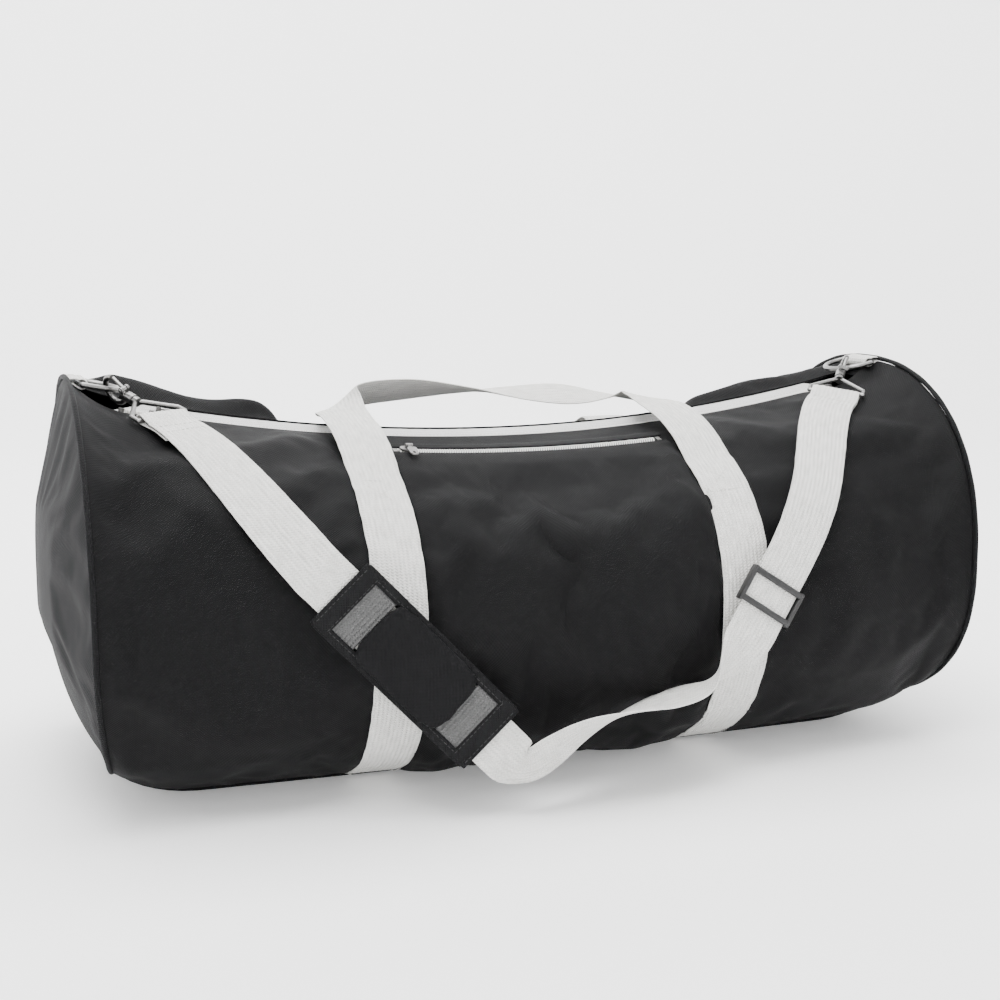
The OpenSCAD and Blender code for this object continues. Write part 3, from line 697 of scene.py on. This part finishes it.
def piping(side, count=180, around=10):
    """Cord covered with tape, sewn into an end seam."""
    name = side_name(side)
    verts, uv = [], []
    for k in range(count):
        p = skin(HALF_L, 360 * k / count, 1.9)
        out = unit(p - vec(HALF_L, 0, BODY_H / 2))
        radius = 2.0 + 0.1 * math.sin(k * 1.1)
        for m in range(around):
            turn = 2 * math.pi * m / around
            q = p + radius * (math.cos(turn) * out + vec(math.sin(turn), 0, 0))
            verts.append((side * q[0], q[1], q[2]))
            uv.append((m * 1.3, k * 5.2))
    faces = grid_faces(count, around, flip=side > 0, wrap=True, closed=True)
    obj = add_mesh(name + "_seam_piping", verts, faces, bind_mat, uv)
    return sewn_on(obj, "bag", "black_fabric", name + "_piping")


def seam_binding(side, count=120):
    """Tape folded over the raw edges of an end seam, inside the bag."""
    name = side_name(side)
    section = [(-13, -3.4), (-7, -3.2), (-1, -3.4), (-1, -4.2), (-7, -4.5), (-13, -4.2)]
    verts = []
    for k in range(count):
        for x, off in section:
            p = skin(HALF_L + x, 360 * k / count, off + 0.2 * math.sin(k * 1.9))
            verts.append((side * p[0], p[1], p[2]))
    faces = grid_faces(count, len(section), flip=side > 0, wrap=True, closed=True)
    obj = add_mesh(name + "_binding_tape", verts, faces, bind_mat)
    return sewn_on(obj, "bag", "black_fabric", name + "_seam_binding")


for end_side in (-1, 1):
    end_panel(end_side)
    piping(end_side)
    seam_binding(end_side)


def base_board():
    """Stiffened base with rounded edges."""
    xs = np.linspace(-HALF_L + 8, HALF_L - 8, 60)
    edge = [vec(x, skin(x, floor_angle(x))[1], 0) for x in xs]
    outline = edge + [vec(p[0], -p[1], 0) for p in edge[::-1]]
    levels = [(4.6, 3), (4.2, 0.8), (2.4, 0), (0.6, 0.8), (0.02, 3), (0.02, 20)]
    verts = []
    for z, inset in levels:
        for p in outline:
            verts.append(soften(vec(p[0] * (1 - inset / HALF_L), p[1] * (1 - inset / 66), z)))
    faces = wire_faces(0, len(levels), len(outline))
    return sewn_on(add_mesh("base_board", verts, faces, board_mat), "bag", "black_fabric", "base_panel")


base_board()

# ---- zips ----


class Zip:
    """A zip that lies on an arc about an axis along Y, as in the CAD."""

    def __init__(self, radius, low_z, front_y, tilt):
        self.radius, self.low_z, self.front_y, self.tilt = radius, low_z, front_y, tilt

    def at(self, x, s, h):
        """Point at x along the zip, s in front of its middle and h above its arc."""
        a = math.asin(x / self.radius)
        c, d = math.cos(self.tilt), math.sin(self.tilt)
        r = self.radius + s * d - h * c
        return vec(r * math.sin(a), -(self.front_y + s * c + h * d),
                   self.low_z + self.radius - r * math.cos(a))

    def up(self, x):
        return unit(self.at(x, 0, 1) - self.at(x, 0, 0))


pocket_top = math.cos(math.radians(POCKET_ANGLE)) ** POWER
above, below = skin(0, POCKET_ANGLE - 1), skin(0, POCKET_ANGLE + 1)
main_zip = Zip(ZIP_R, SAG_H, 0, 0)
pocket_zip = Zip(ZIP_R * 2 / (1 + pocket_top), skin(0, POCKET_ANGLE)[2], -skin(0, POCKET_ANGLE)[1],
                 math.atan2(above[2] - below[2], above[1] - below[1]))


def zip_tape(name, zipper, side, h, half, node, rise_up=0.0):
    """Woven tape of one side of a zip, whose outer edge may rise beside the fabric."""
    verts, uv = [], []
    widths = np.linspace(POST_SLOT, TAPE_W, 9)
    xs = np.linspace(-half, half, int(half / 2))
    for x in xs:
        for layer in (TAPE_T, 0.0):
            for s in widths if layer else widths[::-1]:
                wave = 0.05 * math.sin(x * 2.1) + 0.12 * rough((x, s, 2), 7)
                edge = min(1, (half - abs(x)) / 20)
                wave += rise_up * edge * min(1, max(0, (s - 6) / 5.5)) ** 1.3
                verts.append(zipper.at(x, side * s, h + layer + wave))
                uv.append((s, x))
    faces = grid_faces(len(xs), 2 * len(widths), flip=side > 0, wrap=True)
    obj = add_mesh(name, verts, faces, tape_mat, uv)
    return sewn_on(obj, "bag", "white_tape", node)


def zip_coil(name, zipper, side, low, top, half, node, pitch=1.9):
    """One row of a nylon coil: a bent loop of wire for each tooth."""
    bend = [(3.1, low), (3.2, (low + top) / 2), (2.8, top - 0.35), (1.6, top - 0.15), (0.75, top - 0.4),
            (0.62, (low + top) / 2), (0.75, low)]
    verts, faces = [], []
    wire = 0.5
    for x in np.arange(-half + 1 + (pitch / 2 if side > 0 else 0), half - 1, pitch):
        base = len(verts)
        for i, (s, h) in enumerate(bend):
            before, after = bend[max(0, i - 1)], bend[min(len(bend) - 1, i + 1)]
            run = unit(vec(after[0] - before[0], after[1] - before[1], 0))
            for k in range(6):
                a = k * math.pi / 3
                out = wire * math.cos(a)
                verts.append(zipper.at(x + wire * math.sin(a) + 0.18 * (i - 3), side * (s - run[1] * out),
                                       h + run[0] * out))
        faces += wire_faces(base, len(bend), 6)
    obj = add_mesh(name, verts, faces, coil_mat)
    return sewn_on(obj, "bag", "white_teeth", node)


# Heights of the coils' tops, and how far the rear edge of the main tape rises
MAIN_COIL_TOP, POCKET_COIL_TOP, TAPE_RISE = 0.8, 3.0, 7.5
for label, side in (("front", 1), ("rear", -1)):
    zip_tape("main_tape_" + label, main_zip, side, MAIN_TAPE_H, ZIP_X + 6, "main_zip_tape_" + label,
             TAPE_RISE if side < 0 else 0)
    zip_coil("main_coil_" + label, main_zip, side, MAIN_TAPE_H + TAPE_T, MAIN_COIL_TOP, ZIP_X,
             "main_zip_teeth_" + label)
zip_thread = Stitches()
xs = np.linspace(-ZIP_X + 22, ZIP_X - 22, 160)
tilted = [unit(vec(0, -0.7, 0.7))] * len(xs)
for s, h in ((7.2, -2.2), (9.0, 0.4)):
    zip_thread.run([main_zip.at(x, -s, h) for x in xs], tilted, pitch=3.0, length=2.1, radius=0.36)
sewn_on(zip_thread.make("main_zip_thread", white_thread), "bag", "white_tape")
for label, side in (("lower", 1), ("upper", -1)):
    zip_tape("pocket_tape_" + label, pocket_zip, side, POCKET_TAPE_H, POCKET_ZIP_X + 5,
             "pocket_zip_tape_" + label)
    zip_coil("pocket_coil_" + label, pocket_zip, side, POCKET_TAPE_H + TAPE_T, POCKET_COIL_TOP,
             POCKET_ZIP_X, "pocket_zip_teeth_" + label)

# ---- front pocket ----

POCKET_X = WEB_X - WEB_W / 2 - 0.6
POCKET_RUN = 390
# Distance from the middle of the zip to the fabric on each side, and share of the sheet in its hem
COVER_S, HEM = 4.7, 0.06


def pocket_panel(rows=70, cols=80):
    """Outer sheet of the pocket: from its zip down to the base seam, with a folded top hem."""
    verts, uv, pins = [], [], []
    for x in np.linspace(-POCKET_X, POCKET_X, rows):
        start, end = angle_at(x, pocket_zip.front_y + TAPE_W + 1), floor_angle(x) - 1.5
        side_in = max(0, 1 - (x / POCKET_X) ** 2) ** 0.6
        for j, t in enumerate(np.linspace(-HEM, 1, cols)):
            if t < 0:
                past_edge = 1 + t / HEM
                s = COVER_S + (TAPE_W + 1 - COVER_S) * past_edge
                p = pocket_zip.at(x, s, 1.9 + 0.5 * past_edge)
            else:
                stand = 0.9 + 1.5 * min(1, (POCKET_X - abs(x)) / 9)
                stand += 0.93 * POCKET_BULGE * side_in * math.sin(math.pi * t) ** 0.6
                crease = 1.6 * rough((x * 0.6, t * 360, 2), 46) + 0.8 * rough((x, t * 360, 8), 20)
                stand += crease * math.sin(math.pi * t) * side_in
                angle = start + (end - start) * t
                q, normal = front.at(x, angle)
                plain = skin(x, angle)
                blend = min(1, t / 0.12)
                p = (plain * (1 - blend) + q * blend) + normal * stand
            verts.append(p)
            uv.append((x, t * POCKET_RUN))
            pins.append(1 if j < 8 or j > cols - 3 or abs(x) > POCKET_X - 5 else 0)
    obj = add_mesh("pocket_cloth", verts, grid_faces(rows, cols), cloth_mat, uv)
    settle(obj, pins, 3, 0.3, 0.008)
    thicken(obj, 1.4)
    return sewn_on(obj, "bag", "black_fabric", "pocket_panel")


pocket_panel()


def zip_facing():
    """Strip of the bag's fabric that covers the upper tape of the pocket's zip."""
    verts, uv = [], []
    xs = np.linspace(-POCKET_X, POCKET_X, 60)
    across = [(-COVER_S, 2.3), (-COVER_S - 1.5, 2.6), (-9, 2.4), (-13, 2.2), (-16, 1.6), (-18, 0.2)]
    for x in xs:
        for s, h in across:
            verts.append(pocket_zip.at(x, s, h + 0.25 * rough((x, s, 4), 12)))
            uv.append((x, s))
    obj = add_mesh("pocket_zip_facing", verts, grid_faces(len(xs), len(across), flip=True), cloth_mat, uv)
    thicken(obj, 1.1)
    return sewn_on(obj, "bag", "black_fabric")


zip_facing()

# ---- webbing and handles ----

# Angle at which each handle leaves the body
HANDLE_ANGLE = 33
# Points of each handle from the right-hand webbing to the left, then the way its face points at each
FRONT_ROUTE = [[131, -90, 236], [131, -74, 246], [131, -50, 256], [131, -18, 263], [130, 10, 266],
               [124, 29, 266], [104, 41, 266], [70, 46, 268], [30, 46, 270], [-20, 44, 274],
               [-66, 42, 276], [-104, 38, 274], [-124, 26, 270], [-130, 8, 267], [-131, -18, 263],
               [-131, -50, 256], [-131, -74, 246], [-131, -90, 236]]
FRONT_FACES = [[0, -54, 84], [0, -50, 87], [0, -30, 95], [0, -10, 99], [14, 8, 98], [26, 12, 95],
               [14, -8, 98], [0, -35, 94], [0, -20, 98], [0, 20, 98], [0, 50, 87], [-20, 55, 82],
               [-50, 40, 77], [-20, 15, 97], [0, -10, 99], [0, -30, 95], [0, -50, 87], [0, -54, 84]]
REAR_ROUTE = [[131, 92, 235.5], [131, 100, 240.5], [131, 111, 240], [130, 125, 232], [127, 138, 220],
              [118, 149, 207], [98, 156, 196], [66, 160, 188], [22, 162, 184]]
REAR_FACES = [[0, -52, 85], [0, -20, 98], [0, 34, 94], [5, 68, 73], [25, 76, 60], [35, 85, 38],
              [14, 94, 30], [4, 95, 30], [0, 96, 28]]
REAR_ROUTE += [[-x, y, z] for x, y, z in REAR_ROUTE[::-1]]
REAR_FACES += [[-x, y, z] for x, y, z in REAR_FACES[::-1]]
white_seams, black_seams = Stitches(), Stitches()


def down_the_side(surface, x, low=HANDLE_ANGLE, lift=1.9):
    """Points and normals of webbing sewn down a side, from its handle to the base seam."""
    return surface.line([(x, a) for a in np.linspace(low, floor_angle(x) - 1, 46)], lift)


def edge_stitches(surface, x):
    """Stitching down both edges of sewn webbing."""
    for offset in (-WEB_W / 2 + 2.6, WEB_W / 2 - 2.6):
        white_seams.run(*down_the_side(surface, x + offset, HANDLE_ANGLE + 3, 2.7))


def box_stitches(surface, x, first, length):
    """Sewn box with a cross in it, which fixes each end of a handle."""
    reach = WEB_W / 2 - 4.5
    corners = [(-reach, 0), (reach, 0), (reach, length), (-reach, length), (-reach, 0), (reach, length)]
    corners += [(reach, 0), (-reach, length)]
    for (x0, a0), (x1, a1) in zip(corners, corners[1:]):
        places = [(x + x0 + (x1 - x0) * k / 8, first + a0 + (a1 - a0) * k / 8) for k in range(9)]
        white_seams.run(*surface.line(places, 2.75))


right_path, right_ups = down_the_side(front, WEB_X)
left_path, left_ups = down_the_side(front, -WEB_X)
loop_path = right_path[::-1] + smooth_path(FRONT_ROUTE, 8) + left_path
loop_ups = right_ups[::-1] + [unit(v) for v in smooth_path(FRONT_FACES, 8)] + left_ups
front_loop = band("front_handle_webbing", loop_path, loop_ups, web_mat)
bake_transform(front_loop)
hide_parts("front_left_webbing", "front_right_webbing", "front_handle")
for side in (1, -1):
    # The webbing runs on under the foot of the handle, and stays covered when the handle lifts
    path, ups = down_the_side(rear, side * WEB_X, HANDLE_ANGLE - 7)
    sewn_on(band("rear_webbing_" + side_name(side), path, ups, web_mat), "bag", "white_webbing",
            "rear_" + side_name(side) + "_webbing")
    for surface in (front, rear):
        edge_stitches(surface, side * WEB_X)
        box_stitches(surface, side * WEB_X, HANDLE_ANGLE + 4, 12)
rear_handle = band("rear_handle_webbing", smooth_path(REAR_ROUTE, 8), smooth_path(REAR_FACES, 8), web_mat)
sewn_on(rear_handle, "rear_grab_handle", "white_webbing", "rear_handle")

# ---- rings, hooks and their tabs ----

RING_X, RING_Z, RING_HALF, RING_LEG = 322.0, 292.5, 22.0, 6.0
# How far the rings dip, where the hooks bear on their bows, and how far the hooks' gates are turned
DIP, BOW, GATE_TURN = math.radians(12), math.radians(36), math.radians(-114)
reach = RING_LEG + RING_HALF * math.cos(BOW)
HOOK = vec(RING_X - reach * math.cos(DIP), -RING_HALF * math.sin(BOW), RING_Z - reach * math.sin(DIP))
EYE = vec(271, -50, 271.5)
AXIS = unit(EYE - HOOK)
FLIP = vec(-1, 1, 1)


def ring_tab(side):
    """Webbing folded round the ring's bar, both ends sewn into the end seam."""
    around = [(RING_X + 3.5 * math.cos(a), RING_Z + 3.5 * math.sin(a))
              for a in np.radians(range(60, 301, 12))]
    tail_top = [(RING_X + 9.5, RING_Z + 3.6), (RING_X + 6, RING_Z + 4.2), (RING_X + 3.4, RING_Z + 3.9)]
    tail_low = [(RING_X + 3.2, RING_Z - 2.2), (RING_X + 6, RING_Z + 0.2), (RING_X + 9.5, RING_Z + 1.4)]
    flat = tail_top + around + tail_low
    path = [vec(side * x, 0, z) for x, z in flat]
    ups = []
    for i, p in enumerate(path):
        run = path[min(i + 1, len(path) - 1)] - path[max(i - 1, 0)]
        ups.append(unit(vec(-run[2], 0, run[0])))
    ups = [u if u.dot(p - vec(side * RING_X, 0, RING_Z)) > 0 else -u for u, p in zip(ups, path)]
    name = side_name(side)
    obj = band(name + "_ring_webbing", path, ups, web_mat, width=36, thick=1.6, step=1.2)
    return sewn_on(obj, "bag", "white_webbing", name + "_ring_tab")


def coil_spring(side, samples=48, turns=3):
    """Two short wire coils round the ends of a gate's pin."""
    face = unit(np.cross(AXIS, vec(0, 0, 1)))
    other = np.cross(AXIS, face)
    out = face * math.cos(GATE_TURN) + other * math.sin(GATE_TURN)
    pin = -face * math.sin(GATE_TURN) + other * math.cos(GATE_TURN)
    centre = HOOK + out * 5.4 + AXIS * 10.2
    verts, faces = [], []
    for end in (-1, 1):
        base = len(verts)
        for k in range(samples + 1):
            a = k / samples * turns * 2 * math.pi
            radial = math.cos(a) * out + math.sin(a) * AXIS
            middle = centre + pin * (end * 3.8 - 0.4 + 0.8 * k / samples) + radial * 1.3
            for b in np.radians(range(0, 360, 60)):
                p = middle + 0.16 * (math.cos(b) * radial + math.sin(b) * pin)
                verts.append(p * FLIP if side < 0 else p)
        faces += [[q + base for q in f] for f in grid_faces(samples + 1, 6, wrap=True)]
    name = side_name(side)
    obj = add_mesh(name + "_spring_coil", verts, faces, nickel)
    return sewn_on(obj, name + "_hook", "nickel", name + "_gate_spring")


for end_side in (-1, 1):
    ring_tab(end_side)
    coil_spring(end_side)

# ---- shoulder strap ----

# Points of the strap from the left hook to the right, then the way its face points at each
STRAP_ROUTE = [[-267.5, -55, 269], [-259, -72, 264], [-246, -97, 252], [-230, -125, 232],
               [-210, -152, 205], [-190, -172, 179], [-182, -173.25, 170.5], [-126, -182, 111],
               [-70, -190.75, 51.5], [-62, -192, 43], [-55.5, -193.6, 38], [-46, -195, 38.5],
               [-31, -195, 46], [-8, -194, 57], [24, -192, 66], [56, -189, 71], [84, -185, 77],
               [106, -182, 90], [124, -181, 108], [140, -178, 132], [148, -176.5, 144], [164, -173.5, 168],
               [180, -165, 191], [196, -150, 213], [213, -126, 234], [232, -97, 252], [251, -72, 264],
               [267.5, -55, 269]]
STRAP_FACES = [[17, -37, 89], [16, -42, 88], [10, -55, 82], [0, -70, 68], [-8, -88, 42], [-10, -99, 6],
               [-10, -99, 5], [-10, -99, 5], [-10, -99, 5], [-8, -97, -15], [-10, -85, -50],
               [0, -84, -54], [12, -84, -52], [14, -70, -70], [8, -36, -93], [5, -6, -99],
               [12, -14, -98], [24, -78, -56], [0, -99, 12], [0, -99, 12], [0, -99, 12], [0, -99, 12],
               [10, -88, 45], [6, -78, 60], [0, -67, 72], [-8, -54, 83], [-15, -42, 88], [-17, -37, 89]]
LAYER_GAP = WEB_T + 0.35
# Samples in the left loop's tail, and share of the strap where its second layer ends at the slide
TAIL, LAYER_END = 9, 0.735
strap_path, strap_ups = resample(smooth_path(STRAP_ROUTE, 6), smooth_path(STRAP_FACES, 6), 3.0)
strap_ups = [unit(v) for v in strap_ups]


def fold_round(bar, path, ups):
    """Half turn of webbing round a bar, from under the start of a path to its upper side."""
    run, up = unit(path[1] - path[0]), ups[0]
    steps = np.linspace(0, math.pi, 13)
    around = [-up * math.cos(a) - run * math.sin(a) for a in steps]
    return [bar + 2.9 * v for v in around], around


def shoulder_strap():
    """The whole strap: folded back at the left eye, and doubled from the right eye to its slide."""
    left_bar, right_bar = EYE * FLIP, EYE
    path, ups = list(strap_path), list(strap_ups)
    turn, out = fold_round(left_bar, path, ups)
    far_turn, far_out = fold_round(right_bar, path[::-1], ups[::-1])

    def under(samples):
        return [path[i] - ups[i] * LAYER_GAP for i in samples], [-ups[i] for i in samples]

    tail, tail_ups = under(range(TAIL, 1, -1))
    layer, layer_ups = under(range(len(path) - 3, int(len(path) * LAYER_END), -1))
    route = tail + turn + path[2:-2] + far_turn[::-1] + layer
    faces = tail_ups + out + ups[2:-2] + far_out[::-1] + layer_ups
    obj = band("shoulder_strap_webbing", route, faces, web_mat, step=2.6)
    for start, direction in ((4, 1), (len(path) - 5, -1)):
        for step in (0, 3):
            i = start + direction * step
            along = unit(path[i + 1] - path[i])
            across = np.cross(ups[i], along)
            line = [path[i] + across * u + ups[i] * 0.9 for u in np.linspace(-16, 16, 12)]
            strap_seams.run(line, [ups[i]] * 12)
    return sewn_on(obj, "strap", "white_webbing", "shoulder_strap", "left_strap_loop", "right_strap_loop")


strap_seams = Stitches()
shoulder_strap()
sewn_on(strap_seams.make("strap_thread", white_thread), "strap", "white_webbing")


class Place:
    """Local frame on a straight stretch of the strap: x along it, y across it, z out of its face."""

    def __init__(self, start, end, face):
        start, end, face = vec(*start), vec(*end), vec(*face)
        self.x = unit(end - start)
        self.z = unit(face - face.dot(self.x) * self.x)
        self.y = np.cross(self.z, self.x)
        self.middle = (start + end) / 2

    def at(self, x, y, z):
        return self.middle + self.x * x + self.y * y + self.z * z


def boxes(name, place, blocks, material, bevel, segments=3):
    """Bevelled blocks, each given by its centre and size, as one piece."""
    verts, faces = [], []
    for centre, extent in blocks:
        base = len(verts)
        for sx in (-0.5, 0.5):
            for sy in (-0.5, 0.5):
                for sz in (-0.5, 0.5):
                    verts.append(place.at(*(c + e * k for c, e, k in zip(centre, extent, (sx, sy, sz)))))
        for face in ((0, 1, 3, 2), (4, 6, 7, 5), (0, 4, 5, 1), (2, 3, 7, 6), (0, 2, 6, 4), (1, 5, 7, 3)):
            faces.append([base + k for k in face])
    obj = add_mesh(name, verts, faces, material)
    add_modifier(obj, "BEVEL", width=bevel * MM, segments=segments, limit_method="NONE")
    return obj


def strap_slide():
    """Three-bar slide: two bars over the webbing, one under it, and a rail on each side."""
    place = Place(STRAP_ROUTE[19], STRAP_ROUTE[20], STRAP_FACES[19])
    rail = WEB_W / 2 + 2.6
    blocks = [((0, s * rail, 0), (28, 3.4, 6.6)) for s in (-1, 1)]
    blocks += [((s * 11.2, 0, 2.6), (4.6, 2 * rail, 2.4)) for s in (-1, 1)]
    blocks.append(((0, 0, -2.7), (6, 2 * rail, 2)))
    obj = boxes("slide_frame", place, blocks, acetal, 0.95)
    return sewn_on(obj, "slide", "black_plastic", "strap_slide")


strap_slide()

# ---- shoulder pad ----

PAD_L, PAD_W, WINDOW_X, WINDOW_L = 148.0, 56.0, 50.0, 21.0
pad_place = Place(STRAP_ROUTE[6], STRAP_ROUTE[8], STRAP_FACES[7])


def pillow(name, place, length, width, low, high, material, crown, power=5.0):
    """Closed soft slab with a rounded outline, its upper face crowned and its lower face flat."""
    n, m = 44, 22
    middle = (low + high) / 2
    verts = []
    for layer in (1, -1):
        for i in range(n + 1):
            for j in range(m + 1):
                u, v = -1 + 2 * i / n, -1 + 2 * j / m
                radius = (abs(u) ** power + abs(v) ** power) ** (1 / power)
                square = max(abs(u), abs(v))
                k = square / radius if radius > 1e-9 else 1
                full = max(0, 1 - square ** 6) ** 0.5
                x, y = u * k * length / 2, v * k * width / 2
                z = middle + layer * (high - low) / 2 * full
                if layer > 0:
                    z += crown * (1 - u * u) * (1 - v * v) + 0.25 * rough((x, y, 0), 14)
                verts.append(place.at(x, y, z))
    count = (n + 1) * (m + 1)
    top = grid_faces(n + 1, m + 1)
    obj = add_mesh(name, verts, top + [[q + count for q in f[::-1]] for f in top], material)
    mesh = bmesh.new()
    mesh.from_mesh(obj.data)
    bmesh.ops.remove_doubles(mesh, verts=mesh.verts, dist=0.05 * MM)
    bmesh.ops.recalc_face_normals(mesh, faces=mesh.faces)
    mesh.to_mesh(obj.data)
    mesh.free()
    obj.data.polygons.foreach_set("use_smooth", [True] * len(obj.data.polygons))
    return obj


def swell(obj, cap, pressure):
    """Fills a cushion by up to cap millimetres and smooths it."""
    settle(obj, [0.0] * len(obj.data.vertices), cap, pressure, 0.0)
    add_modifier(obj, "SUBSURF", levels=1, render_levels=1)
    return obj


cushion = swell(pillow("pad_cushion", pad_place, 84, 53, 2.0, 6.2, pad_mat, 1.8), 1.5, 2)
sewn_on(cushion, "pad", "black_foam", "pad_foam")
backing = swell(pillow("pad_back", pad_place, PAD_L, PAD_W, -5.0, -1.7, pad_mat, 0, 9.0), 0.5, 1)
sewn_on(backing, "pad", "black_fabric", "pad_backing")
frame_blocks = [((0, s * 24.3, 0.6), (PAD_L - 6, 7.4, 5.4)) for s in (-1, 1)]
frame_blocks += [((s * 66.6, 0, 2.7), (14.5, PAD_W - 2, 2.2)) for s in (-1, 1)]
cover = boxes("pad_frame", pad_place, frame_blocks, bind_mat, 1.0, 4)
sewn_on(cover, "pad", "black_fabric", "pad_cover")
# Grey strips over the strap in the pad's windows: painted shade for the strap seen in shadow there.
for s in (-1, 1):
    line = [pad_place.at(s * WINDOW_X, y, 1.9) for y in np.linspace(-20.6, 20.6, 12)]
    window_shade_strip = band("pad_window_shade_" + ("low" if s > 0 else "high"), line, [pad_place.z] * 12, window_shade_web_mat,
                  width=WINDOW_L, thick=0.9, step=2)
    sewn_on(window_shade_strip, "pad", "black_fabric")
pad_seams = Stitches()
for s in (-1, 1):
    ends = (-PAD_L / 2 + 6, PAD_L / 2 - 6)
    pad_seams.run([pad_place.at(x, s * 23, 3.35) for x in ends], [pad_place.z] * 2)
    for x in (WINDOW_X + 11, WINDOW_X + 21):
        pad_seams.run([pad_place.at(s * x, y, 3.85) for y in (-24, 24)], [pad_place.z] * 2)
sewn_on(pad_seams.make("pad_thread", black_thread), "pad", "black_fabric")

# ---- seams of the body ----


lines = [[(x, angle_at(x, y)) for x in np.linspace(-300, 300, 80)] for y in (7, 15)]
lines += [[(x, floor_angle(x) - inset) for x in np.linspace(-322, 322, 80)] for inset in (2.2, 5.0)]
lines += [[(x, a) for a in np.linspace(4, floor_angle(x) - 2, 90)] for x in (-HALF_L + 7, HALF_L - 7)]
for surface in (front, rear):
    for places in lines:
        black_seams.run(*surface.line(places, 0.1))
for s in (COVER_S + 2, COVER_S + 7, -COVER_S - 2, -COVER_S - 8):
    xs = np.linspace(-POCKET_X + 2, POCKET_X - 2, 50)
    black_seams.run([pocket_zip.at(x, s, 2.75) for x in xs], [pocket_zip.up(x) for x in xs])
sewn_on(white_seams.make("webbing_thread", white_thread), "bag", "white_webbing")
sewn_on(black_seams.make("seam_thread", black_thread), "bag", "black_fabric")

# ---- finishes of the CAD pieces that stay ----

HARDWARE = [side_name(side) + part for side in (-1, 1)
            for part in ("_d_ring", "_hook_body", "_hook_gate", "_gate_pin", "_swivel_eye")]
ZIP_METAL = [label + part for label in ("main_zip", "pocket_zip")
             for part in ("_slider", "_pull", "_stops")]
for material, nodes in ((nickel, HARDWARE), (dark_nickel, ZIP_METAL)):
    for node in nodes:
        for material_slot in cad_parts[node].material_slots:
            material_slot.material = material
bpy.context.view_layer.update()
